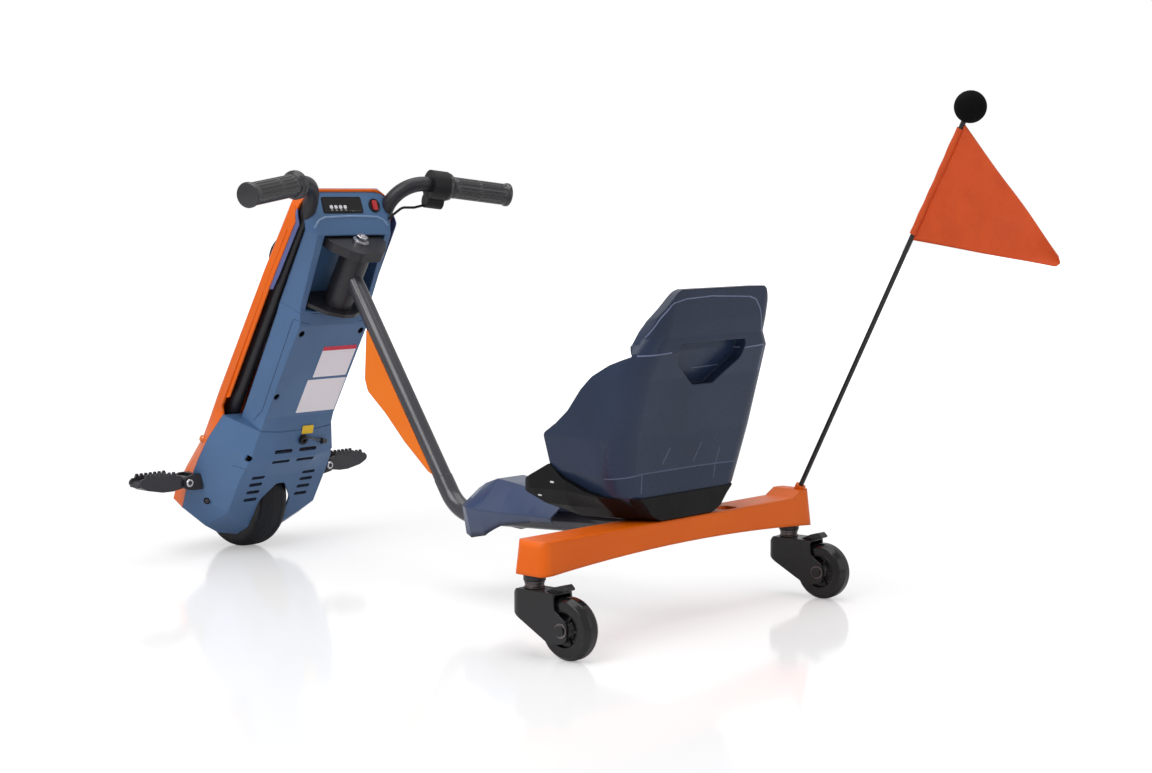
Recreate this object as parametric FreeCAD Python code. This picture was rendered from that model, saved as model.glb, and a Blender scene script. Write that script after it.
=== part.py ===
import FreeCAD, Part
import math
import os

# Millimetres. +X forward, +Y left, +Z up, ground at z = 0.
# Stations are given from the line of the two caster stems; origin_x moves them to the middle of the length.
origin_x = 270.0
vec = FreeCAD.Vector

# Rear cross beam; the right end stands higher for the flag
beam = {"half_width": 269.0, "back": -31.0, "front": 24.0, "foot": 96.0, "arch": 107.0, "top": 137.0,
        "flag_end": 9.0, "end_length": 27.0, "slope_length": 16.0, "corner": 15.0, "end_taper": 4.0, "edge": 8.0,
        "end_edge": 9.0}

# Casters: swivel angle as parked, wheel and fork sizes
caster = {"from_end": 17.0, "trail": 55.0, "wheel_radius": 37.5, "wheel_width": 25.0, "hub_radius": 20.0,
          "stem_radius": 5.0, "stem_play": 0.05, "bushing_radius": 9.0, "stem_top": 126.0, "collar_radius": 13.5,
          "collar_foot": 89.0, "neck_radius": 10.5, "neck_foot": 80.0, "plate": 3.0, "side_gap": 1.8,
          "axle_radius": 4.0}
caster["half_track"] = beam["half_width"] - caster["from_end"]
caster_angle = {"left": 2.1, "right": 4.5}

# Down tube and frame run
tube_radius = 12.7
tube_top = (607.5, 431.0)
tube_corner = (383.4, 99.0)
tube_end = (-3.0, 120.0)
tube_bend = 60.0
elbow_run = 57.0
elbow_radius = 13.4
head = {"radius": 22.0, "bore": 10.0, "play": 0.05, "foot": 444.0, "length": 88.0, "washer": 0.3, "plate": 6.0,
        "block": 14.0, "cap": 12.0, "cap_height": 4.0, "pocket_foot": 11.0, "pocket_top": 18.0, "pocket_half": 58.0,
        "pocket_floor": 34.0}
head["top"] = head["foot"] + head["length"]

# Steering axis: meets the ground here, leans back by rake
steer_x = 858.0
rake = 30.0
wheel = {"n": 41.7, "s": 68.3, "radius": 80.0, "width": 48.0, "rim_radius": 50.0, "hub_half": 26.0, "bore": 6.05,
         "axle_radius": 6.0}
wall = 3.0
bar = {"radius": 11.0, "n": 52.0, "y": 75.0, "foot": 207.0, "corner_n": 46.0, "corner_s": 624.0, "bend": 52.0,
       "end": (-12.0, 246.0, 633.0)}
grip = {"radius": 16.0, "flange": 20.5, "length": 118.0, "flange_length": 6.0}
housing = {"radius": 22.0, "length": 27.0, "lobe_drop": 25.0, "lobe_radius": 11.0}


# Shape helpers
def move(shape, x=0.0, y=0.0, z=0.0):
    out = shape.copy()
    out.translate(vec(x, y, z))
    return out


def box(x0, x1, y0, y1, z0, z1):
    return Part.makeBox(x1 - x0, y1 - y0, z1 - z0, vec(x0, y0, z0))


def rod(start, direction, radius, length):
    return Part.makeCylinder(radius, length, vec(*start), vec(*direction))


def rounded(points, at):
    # points are (u, v, corner radius); at turns (u, v) into a position
    edges = []
    stops = []
    count = len(points)
    for i in range(count):
        here = at(points[i][0], points[i][1])
        back = at(points[i - 1][0], points[i - 1][1]).sub(here)
        ahead_point = points[(i + 1) % count]
        ahead = at(ahead_point[0], ahead_point[1]).sub(here)
        radius = points[i][2] if len(points[i]) > 2 else 0.0
        if radius <= 0:
            stops.append((here, here, None))
            continue
        back.normalize()
        ahead.normalize()
        half = back.getAngle(ahead) / 2
        run = radius / math.tan(half)
        middle = back.add(ahead)
        middle.normalize()
        centre = here.add(middle * (radius / math.sin(half)))
        stops.append((here.add(back * run), here.add(ahead * run), centre.sub(middle * radius)))
    for i in range(count):
        first, last, middle = stops[i]
        if middle is not None:
            edges.append(Part.Arc(first, middle, last).toShape())
        following = stops[(i + 1) % count][0]
        if last.distanceToPoint(following) > 1e-6:
            edges.append(Part.makeLine(last, following))
    return Part.Wire(edges)


def plate_z(points, z0, z1):
    face = Part.Face(rounded(points, lambda u, v: vec(u, v, z0)))
    return face.extrude(vec(0, 0, z1 - z0))


def plate_y(points, y0, y1):
    face = Part.Face(rounded(points, lambda u, v: vec(u, y0, v)))
    return face.extrude(vec(0, y1 - y0, 0))


def plate_x(points, x0, x1):
    face = Part.Face(rounded(points, lambda u, v: vec(x0, u, v)))
    return face.extrude(vec(x1 - x0, 0, 0))


def loft(wires, ruled=True):
    return Part.makeLoft(wires, True, ruled)


def both_sides(half):
    # half outline on the left, mirrored to close on the right
    return half + [(u, -v) + tuple(rest) for u, v, *rest in reversed(half)]


def inset(points, depth):
    # closed outline moved inward by depth
    out = []
    count = len(points)
    area = sum(points[i - 1][0] * points[i][1] - points[i][0] * points[i - 1][1] for i in range(count))
    side = 1.0 if area > 0 else -1.0
    for i in range(count):
        a = points[i - 1]
        b = points[i]
        c = points[(i + 1) % count]
        d1 = (b[0] - a[0], b[1] - a[1])
        d2 = (c[0] - b[0], c[1] - b[1])
        l1 = math.hypot(*d1)
        l2 = math.hypot(*d2)
        n1 = (-d1[1] / l1 * side, d1[0] / l1 * side)
        n2 = (-d2[1] / l2 * side, d2[0] / l2 * side)
        scale = depth / (1 + n1[0] * n2[0] + n1[1] * n2[1])
        out.append((b[0] + (n1[0] + n2[0]) * scale, b[1] + (n1[1] + n2[1]) * scale) + tuple(b[2:]))
    return out


def pipe(points, bends, radius):
    # round bar along straight runs joined by tangent arcs
    spots = [vec(*p) for p in points]
    edges = []
    here = spots[0]
    for i in range(1, len(spots) - 1):
        back = spots[i - 1].sub(spots[i])
        ahead = spots[i + 1].sub(spots[i])
        back.normalize()
        ahead.normalize()
        half = back.getAngle(ahead) / 2
        run = bends[i - 1] / math.tan(half)
        middle = back.add(ahead)
        middle.normalize()
        centre = spots[i].add(middle * (bends[i - 1] / math.sin(half)))
        first = spots[i].add(back * run)
        last = spots[i].add(ahead * run)
        edges.append(Part.makeLine(here, first))
        edges.append(Part.Arc(first, centre.sub(middle * bends[i - 1]), last).toShape())
        here = last
    edges.append(Part.makeLine(here, spots[-1]))
    along = spots[1].sub(spots[0])
    ring = Part.Wire(Part.Circle(spots[0], along, radius).toShape())
    return Part.Wire(edges).makePipeShell([ring], True, True)


def largest(shape):
    return sorted(shape.Solids, key=lambda solid: -solid.Volume)[0]


def lean(shape):
    # from the steering frame (n forward, y left, s up along the axis) to the vehicle
    out = shape.copy()
    turn = FreeCAD.Rotation(vec(0, 1, 0), -rake)
    out.Placement = FreeCAD.Placement(vec(steer_x, 0, 0), turn).multiply(out.Placement)
    return out


# Rear beam
def build_beam():
    b = beam
    w = b["half_width"]
    raised = b["top"] + b["flag_end"]
    inner = w - b["end_length"]
    flat = inner - b["slope_length"]
    bottom = Part.Arc(vec(-60, -w, b["foot"]), vec(-60, 0, b["arch"]), vec(-60, w, b["foot"])).toShape()
    front_points = [(w, b["foot"]), (w, b["top"]), (-flat, b["top"]), (-inner, raised), (-w, raised), (-w, b["foot"])]
    spots = [vec(-60, y, z) for y, z in front_points]
    edges = [bottom] + [Part.makeLine(spots[i], spots[i + 1]) for i in range(len(spots) - 1)]
    front_view = Part.Face(Part.Wire(edges)).extrude(vec(120, 0, 0))
    rings = []
    for z, back, front, half in ((b["foot"] - 4, b["back"] - 1, b["front"], w),
                                 (raised + 4, b["back"] + 4, b["front"] - 5, w - b["end_taper"])):
        outline = [(back, -half, b["corner"]), (front, -half, b["corner"]), (front, half, b["corner"]),
                   (back, half, b["corner"])]
        rings.append(rounded(outline, lambda u, v, z=z: vec(u, v, z)))
    body = front_view.common(loft(rings))
    e = b["edge"]
    high = plate_y([(-60, 60), (-60, raised), (60, raised), (60, 60)], -w - 2, -flat)
    low = plate_y([(b["back"] - 3, 60), (b["back"] - 1, b["top"], e), (b["front"] + 1, b["top"], e),
                   (b["front"] + 3, 60)], -flat, w + 2)
    body = body.common(low.fuse(high))
    # outer top corners of both ends rounded off
    reach = w - b["end_taper"] + 0.7
    ends = [(-w - 1, 40), (-reach, raised, b["end_edge"] - 3), (150, raised), (150, b["top"]),
            (reach, b["top"], b["end_edge"]), (w + 1, 40)]
    body = body.common(plate_x(ends, -80, 80))
    for side in (1, -1):
        hole = rod((0, side * caster["half_track"], 60), (0, 0, 1), caster["bushing_radius"], caster["stem_top"] - 58)
        body = body.cut(hole)
    slot = plate_z([(-24, -109, 6), (0, -109, 6), (0, -79, 6), (-24, -79, 6)], b["top"] - 4, b["top"] + 4)
    return body.cut(slot)


def build_collar(side):
    c = caster
    y = side * c["half_track"]
    top = c["stem_top"] + 2
    body = rod((0, y, c["collar_foot"]), (0, 0, 1), c["bushing_radius"], top - c["collar_foot"])
    flange = rod((0, y, c["collar_foot"]), (0, 0, 1), c["collar_radius"], 20)
    body = body.fuse(flange.cut(nodes["beam"]).cut(box(-40, 40, y - 40, y + 40, beam["foot"] + 1.5, 140)))
    bore = rod((0, y, c["collar_foot"] - 1), (0, 0, 1), c["stem_radius"] + c["stem_play"],
               c["stem_top"] - c["collar_foot"] + 1)
    return body.cut(bore)


def turned(shape, side):
    # swivelled caster pieces are modelled trailing along -X, then turned about the stem
    angle = caster_angle["left" if side > 0 else "right"]
    out = shape.copy()
    out.rotate(vec(0, 0, 0), vec(0, 0, 1), angle)
    out.translate(vec(0, side * caster["half_track"], 0))
    return out


def build_caster_fork(side):
    c = caster
    inner = c["wheel_width"] / 2 + c["side_gap"]
    outer = inner + c["plate"]
    axle_x = -c["trail"]
    profile = [(15, 79.5, 2), (26, 69, 5), (24, 52, 7), (-38, 18.5, 8), (axle_x - 9, 23, 10), (axle_x - 9, 47, 9),
               (axle_x + 10, 60, 8), (axle_x + 12, 79.5, 2)]
    hood = plate_y(profile, -outer, outer)
    hood = hood.common(plate_z([(-90, -outer), (26, -outer, outer - 1), (26, outer, outer - 1), (-90, outer)], 0, 90))
    cavity = plate_y([(12, 76.5), (23, 66), (21, 54), (-30, 10), (-60, -10), (-150, -10), (-150, 76.5)], -inner, inner)
    cavity = cavity.common(plate_z([(-160, -inner), (23, -inner, inner - 1), (23, inner, inner - 1), (-160, inner)], -20, 90))
    clear = rod((axle_x, -inner, c["wheel_radius"]), (0, 1, 0), c["wheel_radius"] + 3.5, 2 * inner)
    body = hood.cut(cavity).cut(clear)
    tab = plate_y([(-20, 77), (-39, 86, 5), (-51, 89, 2), (-60, 81, 2), (-50, 82, 3), (-40, 79, 3), (-34, 76.6)], -8, 8)
    foot = c["neck_foot"] - 1
    neck = rod((0, 0, foot), (0, 0, 1), c["neck_radius"], c["collar_foot"] - 0.3 - foot)
    stem = rod((0, 0, foot), (0, 0, 1), c["stem_radius"], c["stem_top"] - 0.5 - foot)
    axle = rod((axle_x, -outer - 3, c["wheel_radius"]), (0, 1, 0), c["axle_radius"], 2 * outer + 6)
    nuts = [rod((axle_x, y, c["wheel_radius"]), (0, 1, 0), 6.5, 4) for y in (-outer - 4, outer)]
    body = body.fuse([tab, neck, stem, axle] + nuts).removeSplitter()
    return turned(body, side)


def build_caster_wheel(side):
    c = caster
    half = c["wheel_width"] / 2
    r = c["wheel_radius"]
    bore = c["axle_radius"] + 0.06
    line = [(bore, -half, 0), (10, -half, 0), (13, -half + 4, 1), (c["hub_radius"], -half + 4, 1),
            (c["hub_radius"] + 3, -half, 1), (r - 5, -half, 2), (r, -half + 7, 5), (r, half - 7, 5), (r - 5, half, 2),
            (c["hub_radius"] + 3, half, 1), (c["hub_radius"], half - 4, 1), (13, half - 4, 1), (10, half, 0),
            (bore, half, 0)]
    face = Part.Face(rounded(line, lambda u, v: vec(-c["trail"] + u, v, c["wheel_radius"])))
    body = face.revolve(vec(-c["trail"], 0, c["wheel_radius"]), vec(0, 1, 0), 360)
    return turned(body, side)


# Flag at the right end of the beam
flag = {"from_end": 19.0, "foot_x": -18.0, "lean": 26.93, "length": 567.5, "pole_radius": 3.25, "ball_radius": 20.5,
        "socket_radius": 7.0, "socket_depth": 18.0, "cloth": 1.2, "sleeve_start": 388.0, "sleeve_length": 150.0,
        "pennant": [(-190.0, 485.0), (-266.0, 632.0), (-415.0, 453.0)]}
flag["y"] = flag["from_end"] - beam["half_width"]
flag["foot_z"] = beam["top"] + beam["flag_end"]


def flag_direction():
    angle = math.radians(flag["lean"])
    return vec(-math.sin(angle), 0, math.cos(angle))


def flag_spot(distance):
    return vec(flag["foot_x"], flag["y"], flag["foot_z"]).add(flag_direction() * distance)


def build_flag_socket():
    f = flag
    body = Part.makeCylinder(f["socket_radius"], f["socket_depth"] + 6, flag_spot(-f["socket_depth"]), flag_direction())
    return body.cut(build_flag_pole())


def build_flag_pole():
    f = flag
    start = f["socket_depth"] - 4
    return Part.makeCylinder(f["pole_radius"], f["length"] + start, flag_spot(-start), flag_direction())


def build_flag_ball():
    f = flag
    r = f["ball_radius"]
    bore = f["pole_radius"]
    low = -math.sqrt(r * r - bore * bore)
    edges = [Part.makeLine(vec(bore, 0, low), vec(bore, 0, 0)), Part.makeLine(vec(bore, 0, 0), vec(0, 0, 0)),
             Part.makeLine(vec(0, 0, 0), vec(0, 0, r)),
             Part.Arc(vec(0, 0, r), vec(r, 0, 0), vec(bore, 0, low)).toShape()]
    ball = Part.Face(Part.Wire(edges)).revolve(vec(0, 0, 0), vec(0, 0, 1), 360)
    ball.Placement = FreeCAD.Placement(flag_spot(f["length"]), FreeCAD.Rotation(vec(0, 0, 1), flag_direction()))
    return ball


def build_pennant():
    f = flag
    half = f["cloth"] / 2
    corners = [(f["pennant"][0][0], f["pennant"][0][1], 2), (f["pennant"][1][0], f["pennant"][1][1], 2),
               (f["pennant"][2][0], f["pennant"][2][1], 8)]
    cloth = plate_y(corners, f["y"] - half, f["y"] + half)
    sleeve = Part.makeCylinder(f["pole_radius"] + f["cloth"], f["sleeve_length"], flag_spot(f["sleeve_start"]),
                               flag_direction())
    return cloth.fuse(sleeve).cut(nodes["flag_pole"])


# Bucket seat
seat_rings = [  # height, back, half width, corner radius
    (146.0, -24.0, 66.0, 20.0),
    (160.0, -24.0, 97.0, 26.0),
    (172.0, -24.0, 118.0, 36.0),
    (200.0, -24.0, 131.0, 36.0),
    (245.0, -33.0, 140.0, 38.0),
    (318.0, -53.0, 140.0, 38.0),
    (352.0, -66.0, 132.0, 34.0),
    (370.0, -69.0, 117.0, 28.0),
    (388.0, -74.0, 116.0, 28.0),
    (429.0, -84.0, 109.0, 24.0)]
seat = {"wall": 12.0, "back_wall": 24.0, "front": 150.0, "pan": 174.0, "recess": 17.0}
seat_side = [(-60, 157, 0), (-10, 160, 10), (30, 174, 10), (64, 188, 10), (86, 205, 8), (91, 247, 8), (70, 261, 12),
             (50, 278, 8), (29, 305, 14), (10, 323, 14), (-14, 337, 10), (-46, 349, 2), (-38, 362, 3), (-38, 378, 8),
             (-46, 398, 20), (-64, 429, 8), (-130, 429, 0)]


def seat_solid(depth, back_depth, rise):
    rings = []
    for z, back, half, corner in seat_rings:
        outline = [(seat["front"], -half + depth), (seat["front"], half - depth),
                   (back + back_depth, half - depth, corner - depth * 0.6),
                   (back + back_depth, -half + depth, corner - depth * 0.6)]
        rings.append(rounded(outline, lambda u, v, z=z: vec(u, v, z + rise)))
    return loft(rings)


head_front = [(345, 162, 0), (362, 121, 0), (388, 99, 16), (429.5, 58, 30)]  # (z, y, corner) half outlines
head_rear = [(345, 162, 0), (362, 121, 0), (400, 113, 16), (429.5, 84, 20)]


def headrest_round():
    # front view of the seat whose top corners are cut away more towards the front
    rings = []
    for x, half in ((-130, head_rear), (-84, head_rear), (-38, head_front), (160, head_front)):
        half = [(140, 162, 0)] + half
        outline = [(-y, z, r) for z, y, r in half] + [(y, z, r) for z, y, r in reversed(half)]
        rings.append(rounded(outline, lambda u, v, x=x: vec(x, u, v)))
    return loft(rings)


def build_seat_shell():
    s = seat
    outer = seat_solid(0, 0, 0).common(plate_y(seat_side, -160, 160)).common(headrest_round())
    inside = seat_solid(s["wall"], s["back_wall"], 0).cut(box(-200, 200, -200, 200, 0, s["pan"] - 14))
    shell = outer.cut(inside)
    pan = plate_y([(-30, s["pan"] - 14), (-30, s["pan"]), (60, s["pan"], 30), (106, s["pan"] + 18), (106, s["pan"]),
                   (60, s["pan"] - 14, 20)], -120, 120)
    pan = pan.common(seat_solid(s["wall"] - 1, 6, 0))
    # inner wall inside the tub, from the pan up to the shell's lower edge
    skirt = plate_y([(-10, s["pan"] - 14), (-10, 163), (30, 177), (64, 191), (84, 206), (92, 206), (92, s["pan"] - 4),
                     (60, s["pan"] - 14)], -160, 160)
    skirt = skirt.common(seat_solid(s["wall"] / 2, s["back_wall"] / 2, 0)).cut(inside)
    shell = shell.fuse(pan).fuse(skirt)
    recess = plate_x([(-67, 362, 6), (-63, 338, 12), (-20, 308, 6), (20, 308, 6), (63, 338, 12), (67, 362, 6)], -120,
                     -30)
    recess = recess.cut(seat_solid(10, seat["recess"], 0))
    return shell.cut(recess).removeSplitter()


tub_side = [(-27, 170, 2), (-27, 137, 3), (24, 137, 10), (56, 142, 20), (98, 156, 20), (136, 173, 6),
            (138, 182, 5), (86, 209, 3), (64, 192, 10), (30, 178, 10), (-10, 170, 10)]
tub_sections = [  # station, then half outline (y, z) from the bottom
    (-50.0, (36, 134), (52, 147), (60, 160), (72, 173), (78, 240)),
    (10.0, (50, 134), (92, 143), (110, 157), (130, 172), (134, 240)),
    (60.0, (50, 134), (104, 142), (126, 157), (136, 178), (137, 240)),
    (150.0, (50, 134), (104, 142), (126, 157), (136, 178), (137, 240))]


def tub_solid(depth):
    rings = []
    for section in tub_sections:
        half = [(y - depth, z + depth if z < 200 else z) for y, z in section[1:]]
        outline = half + [(-y, z) for y, z in reversed(half)]
        rings.append(rounded([(u, v, 0) for u, v in outline], lambda u, v, x=section[0]: vec(x, u, v)))
    return loft(rings)


def build_seat_tub():
    side = plate_y(tub_side, -150, 150)
    plan = plate_z([(-46, -138), (140, -134, 22), (140, 134, 22), (-46, 138)], 100, 260)
    body = tub_solid(0).common(side).common(plan)
    hollow = tub_solid(seat["wall"]).common(box(-20, 122, -140, 140, seat["pan"] - 14, 260))
    body = body.cut(hollow)
    filled = seat_solid(0, 0, 0).common(plate_y(seat_side, -160, 160))
    return largest(body.cut(filled).cut(nodes["seat_shell"]))


# Nose fairing and spine
fairing_rings = [  # station, top half width, top, shoulder half width, shoulder, foot half width, foot
    (367.0, 5.0, 114.0, 9.0, 111.0, 8.0, 100.0),
    (354.0, 10.0, 123.0, 20.0, 118.0, 17.0, 93.0),
    (341.0, 14.0, 132.0, 33.0, 121.0, 27.0, 87.0),
    (328.0, 17.0, 142.0, 49.0, 122.0, 41.0, 82.0),
    (311.0, 20.0, 151.0, 60.0, 122.0, 48.0, 79.0),
    (284.0, 25.0, 160.0, 61.0, 121.0, 48.0, 80.0),
    (250.0, 26.0, 157.0, 61.0, 121.0, 46.0, 90.0),
    (200.0, 26.0, 150.0, 57.0, 122.0, 43.0, 100.0),
    (155.0, 26.0, 144.0, 60.0, 123.0, 46.0, 105.0)]
spine = {"back": 20.0, "half": 34.0, "top": 137.0, "foot": 106.0}


def hat_solid(depth):
    rings = []
    for x, top_half, top, shoulder_half, shoulder, foot_half, foot in fairing_rings:
        drop = 0 if depth == 0 else 14
        half = [(max(top_half - depth * 0.4, 2), top - depth), (shoulder_half - depth, shoulder - depth * 0.3),
                (foot_half - depth, foot - drop)]
        outline = [(-u, v) for u, v in half] + [(u, v) for u, v in reversed(half)]
        rings.append(rounded([(u, v, 0) for u, v in outline], lambda u, v, x=x: vec(x, u, v)))
    return loft(rings)


def build_nose_fairing():
    shell = hat_solid(0).cut(hat_solid(wall))
    shell = shell.cut(nodes["frame_tube"]).cut(nodes["down_tube"])
    return largest(shell)


def build_spine_cover():
    h = spine["half"]
    top = spine["top"]
    foot = spine["foot"]
    front = fairing_rings[-1][0]
    outline = [(-h + 4, foot), (-h, foot + 6), (-h, top - 6, 3), (-h + 6, top, 3), (h - 6, top, 3), (h, top - 6, 3),
               (h, foot + 6), (h - 4, foot)]
    inner = [(-h + 7, foot - 6), (-h + wall, foot + 7), (-h + wall, top - wall), (h - wall, top - wall),
             (h - wall, foot + 7), (h - 7, foot - 6)]
    shell = plate_x(outline, spine["back"], front).cut(plate_x(inner, spine["back"] - 10, front + 10))
    return largest(shell.cut(nodes["beam"]))


def tube_line():
    return [(tube_top[0], 0, tube_top[1]), (tube_corner[0], 0, tube_corner[1]), (tube_end[0], 0, tube_end[1])]


def tube_slope():
    slope = vec(tube_top[0] - tube_corner[0], 0, tube_top[1] - tube_corner[1])
    slope.normalize()
    return slope


def tube_spot(distance):
    return vec(tube_corner[0], 0, tube_corner[1]).add(tube_slope() * distance)


def head_cylinder(radius, low, high):
    # round bar on the steering axis, past each end of the head tube by low and high
    return Part.makeCylinder(radius, head["length"] + low + high, vec(0, 0, head["foot"] - low))


def build_frame_tube():
    spots = tube_line()
    start = tube_spot(elbow_run)
    body = pipe([(start.x, 0, start.z), spots[1], spots[2]], [tube_bend], elbow_radius)
    return body.cut(nodes["beam"].fuse(box(-40, 22, -40, 40, 60, 150)))


def build_down_tube():
    length = math.hypot(tube_top[0] - tube_corner[0], tube_top[1] - tube_corner[1]) - elbow_run
    body = Part.makeCylinder(tube_radius, length + 4, tube_spot(elbow_run), tube_slope())
    return largest(body.cut(lean(head_cylinder(head["radius"], 50, 50))))


def build_head_tube():
    body = head_cylinder(head["radius"], 0, 0)
    return lean(body.cut(head_cylinder(head["bore"] + head["play"], 10, 10)))


fin_outline = [  # height above the tube's corner, distance ahead of the tube's middle, corner radius
    (48.0, 0.0, 0.0), (56.0, 13.0, 0.0), (94.0, 35.0, 30.0), (132.0, 49.0, 20.0), (161.0, 66.0, 12.0), (178.0, 61.0, 8.0),
    (249.0, 9.0, 0.0), (249.0, 0.0, 0.0)]
fin_half = 12.0


def build_fin():
    lean_in = (tube_top[0] - tube_corner[0]) / (tube_top[1] - tube_corner[1])
    outline = [(tube_corner[0] + rise * lean_in + ahead, tube_corner[1] + rise, corner)
               for rise, ahead, corner in fin_outline]
    body = plate_y(outline, -fin_half, fin_half)
    along = Part.makeCylinder(tube_radius, 600, tube_spot(-50), tube_slope())
    return largest(body.cut(along).cut(nodes["frame_tube"]))


# Steering column shells: half outlines (n, y) from the rear centre forward, at heights s
lower_rear = [
    (18.0, (-22, 36), (-20, 62), (38, 112)),
    (90.0, (-22, 40), (-22, 83), (38, 122)),
    (150.0, (-22, 40), (-22, 83), (38, 121)),
    (188.0, (-31, 40), (-24, 79), (38, 117)),
    (229.0, (-18.5, 37), (-12.5, 69), (38, 104))]
upper_rear = [
    (229.0, (-18, 36), (-12, 68), (27, 78)),
    (250.0, (-10, 34), (-10, 66), (27, 78)),
    (412.0, (-10, 34), (-10, 66), (30, 80)),
    (430.0, (-4, 34), (-3, 67), (31, 81)),
    (438.0, (-1, 36), (1, 67), (31, 81)),
    (550.0, (14, 48), (15, 70), (32, 82)),
    (571.0, (34, 48), (34, 72), (44, 84)),
    (602.0, (68, 38), (69, 62), (76, 80))]
front_rings = [
    (18.0, (38, 112), (76, 106), (104, 84), (120, 32)),
    (90.0, (38, 122), (72, 108), (99, 80), (118, 32)),
    (150.0, (38, 121), (64, 101), (92, 75), (112, 32)),
    (188.0, (38, 117), (64, 101), (92, 75), (110, 32)),
    (229.0, (38, 104), (66, 99), (93, 75), (108, 32)),
    (238.0, (48, 103), (66, 99), (93, 75), (108, 32)),
    (452.0, (50, 100), (64, 99), (88, 76), (104, 32)),
    (562.0, (50, 97), (63, 95), (85, 74), (99, 32)),
    (602.0, (62, 91), (69, 89), (84, 72), (95, 32))]
seam_s = 470.0
ledge_s = 229.0
console_s = 430.0
crown = {"top": 599.0, "back": 66.0, "front": 106.0, "drop": 30.0, "half": 89.0, "corner": 46.0}


def rear_stack(rings, depth):
    wires = []
    for ring in rings:
        half = [tuple(p) for p in ring[1:]]
        closed = both_sides(half)
        if depth > 0:
            count = len(closed)
            closed = inset(closed, depth)
            far = half[-1][0] + 2
            closed[len(half) - 1] = (far, closed[len(half) - 1][1] + 0.5)
            closed[len(half)] = (far, closed[len(half)][1] - 0.5)
        wires.append(rounded([(u, v, 0) for u, v in closed], lambda u, v, s=ring[0]: vec(u, v, s)))
    return loft(wires)


def front_stack(rings, depth):
    wires = []
    for ring in rings:
        half = [tuple(p) for p in ring[1:]]
        closed = both_sides(half)
        if depth > 0:
            closed = inset(closed, depth)
            far = half[0][0] - 2
            closed[0] = (far, closed[0][1] + 0.5)
            closed[-1] = (far, closed[-1][1] - 0.5)
        wires.append(rounded([(u, v, 0) for u, v in closed], lambda u, v, s=ring[0]: vec(u, v, s)))
    return loft(wires)


def wheel_slot(half, clearance):
    # round-topped opening around the front wheel, through the shells
    r = wheel["radius"] + clearance
    arch = Part.makeCylinder(r, 2 * half, vec(wheel["n"], -half, wheel["s"]), vec(0, 1, 0))
    return arch.fuse(box(wheel["n"] - r, wheel["n"] + r, -half, half, -40, wheel["s"]))


# foot of the lower cover: its lower edge climbs to the seam with the front shell, and each rear corner is a sloping
# facet; both are planes through three (n, y, s) points
bottom_level = 31.0
bottom_plane = [(-22.0, 42.0, 19.0), (-22.0, 118.0, 61.0), (38.0, 42.0, 19.0)]
corner_plane = [(-22.0, 35.0, 57.0), (-22.0, 86.0, 92.0), (0.0, 71.0, 43.0)]


def beyond(plane, side, outward, depth):
    # all that lies outside a plane (mirrored to the right for side -1), its face moved in by depth
    first, second, third = [vec(n, side * y, s) for n, y, s in plane]
    along = second.sub(first)
    out = along.cross(third.sub(first))
    out.normalize()
    if out.dot(outward) < 0:
        out = out * -1
    along.normalize()
    across = out.cross(along)
    middle = first.add(second).multiply(0.5).sub(out * depth)
    corners = [middle.add(along * u).add(across * v) for u, v in ((-200, -200), (200, -200), (200, 200), (-200, 200))]
    return Part.Face(Part.makePolygon(corners + [corners[0]])).extrude(out * 200)


def bottom_solid():
    body = box(-80, 38, -60, 60, -80, bottom_level)
    for side in (1, -1):
        body = body.fuse(beyond(bottom_plane, side, vec(0, 0, -1), 0).common(box(-80, 38, *sorted((0, side * 200)), -80, 90)))
    return body


def corner_solid(depth):
    body = None
    for side in (1, -1):
        block = beyond(corner_plane, side, vec(-1, 0, 0), depth).common(box(-80, 60, *sorted((0, side * 200)), -80, 125))
        body = block if body is None else body.fuse(block)
    return body


def screw_hole(n, y, s):
    return rod((n - 20, y, s), (1, 0, 0), 5, 24)


def crown_solid(depth):
    # top of the console: slopes down forward, with big rounded corners seen from behind
    c = crown
    top = c["top"] - depth
    side = plate_y([(-60, 380), (-60, top), (c["back"], top, 8), (c["front"], top - c["drop"]), (c["front"] + 60, top - 60),
                    (c["front"] + 60, 380)], -200, 200)
    half = c["half"] - depth
    above = top - c["corner"] - 14
    back = plate_x([(-160, 380), (-160, above), (-half - 8, above), (-half, top, c["corner"] - depth),
                    (half, top, c["corner"] - depth), (half + 8, above), (160, above), (160, 380)], -80, 200)
    return side.common(back)


def build_lower_cover():
    inside = rear_stack(lower_rear, wall).cut(box(-60, 60, -160, 160, ledge_s - wall, ledge_s + 10))
    inside = inside.cut(corner_solid(wall))
    body = rear_stack(lower_rear, 0).cut(corner_solid(0)).cut(inside).cut(bottom_solid())
    slot = plate_x([(-42, -60), (-30, 84, 20), (-30, 104, 20), (-8, 134, 8), (8, 134, 8), (30, 104, 20), (30, 84, 20),
                    (42, -60)], -60, 0)
    body = body.cut(slot)
    for side in (1, -1):
        for s in (150, 137, 123, 109):
            body = body.cut(vent(-22, side * 49, s, 22))
        for s in (199, 182):
            body = body.cut(vent(-31, side * 23.5, s, 31))
        for n, y, s in ((-20, 80, 187), (0, 103, 92)):
            body = body.cut(screw_hole(n, side * y, s))
    return body


def build_rear_cover():
    rings = [ring for ring in upper_rear if ring[0] <= console_s]
    body = rear_stack(rings, 0).cut(rear_stack(rings, wall))
    for side in (1, -1):
        for n, y, s in ((-10, 57, 399), (-10, 60, 289)):
            body = body.cut(screw_hole(n, side * y, s))
    return body


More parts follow.
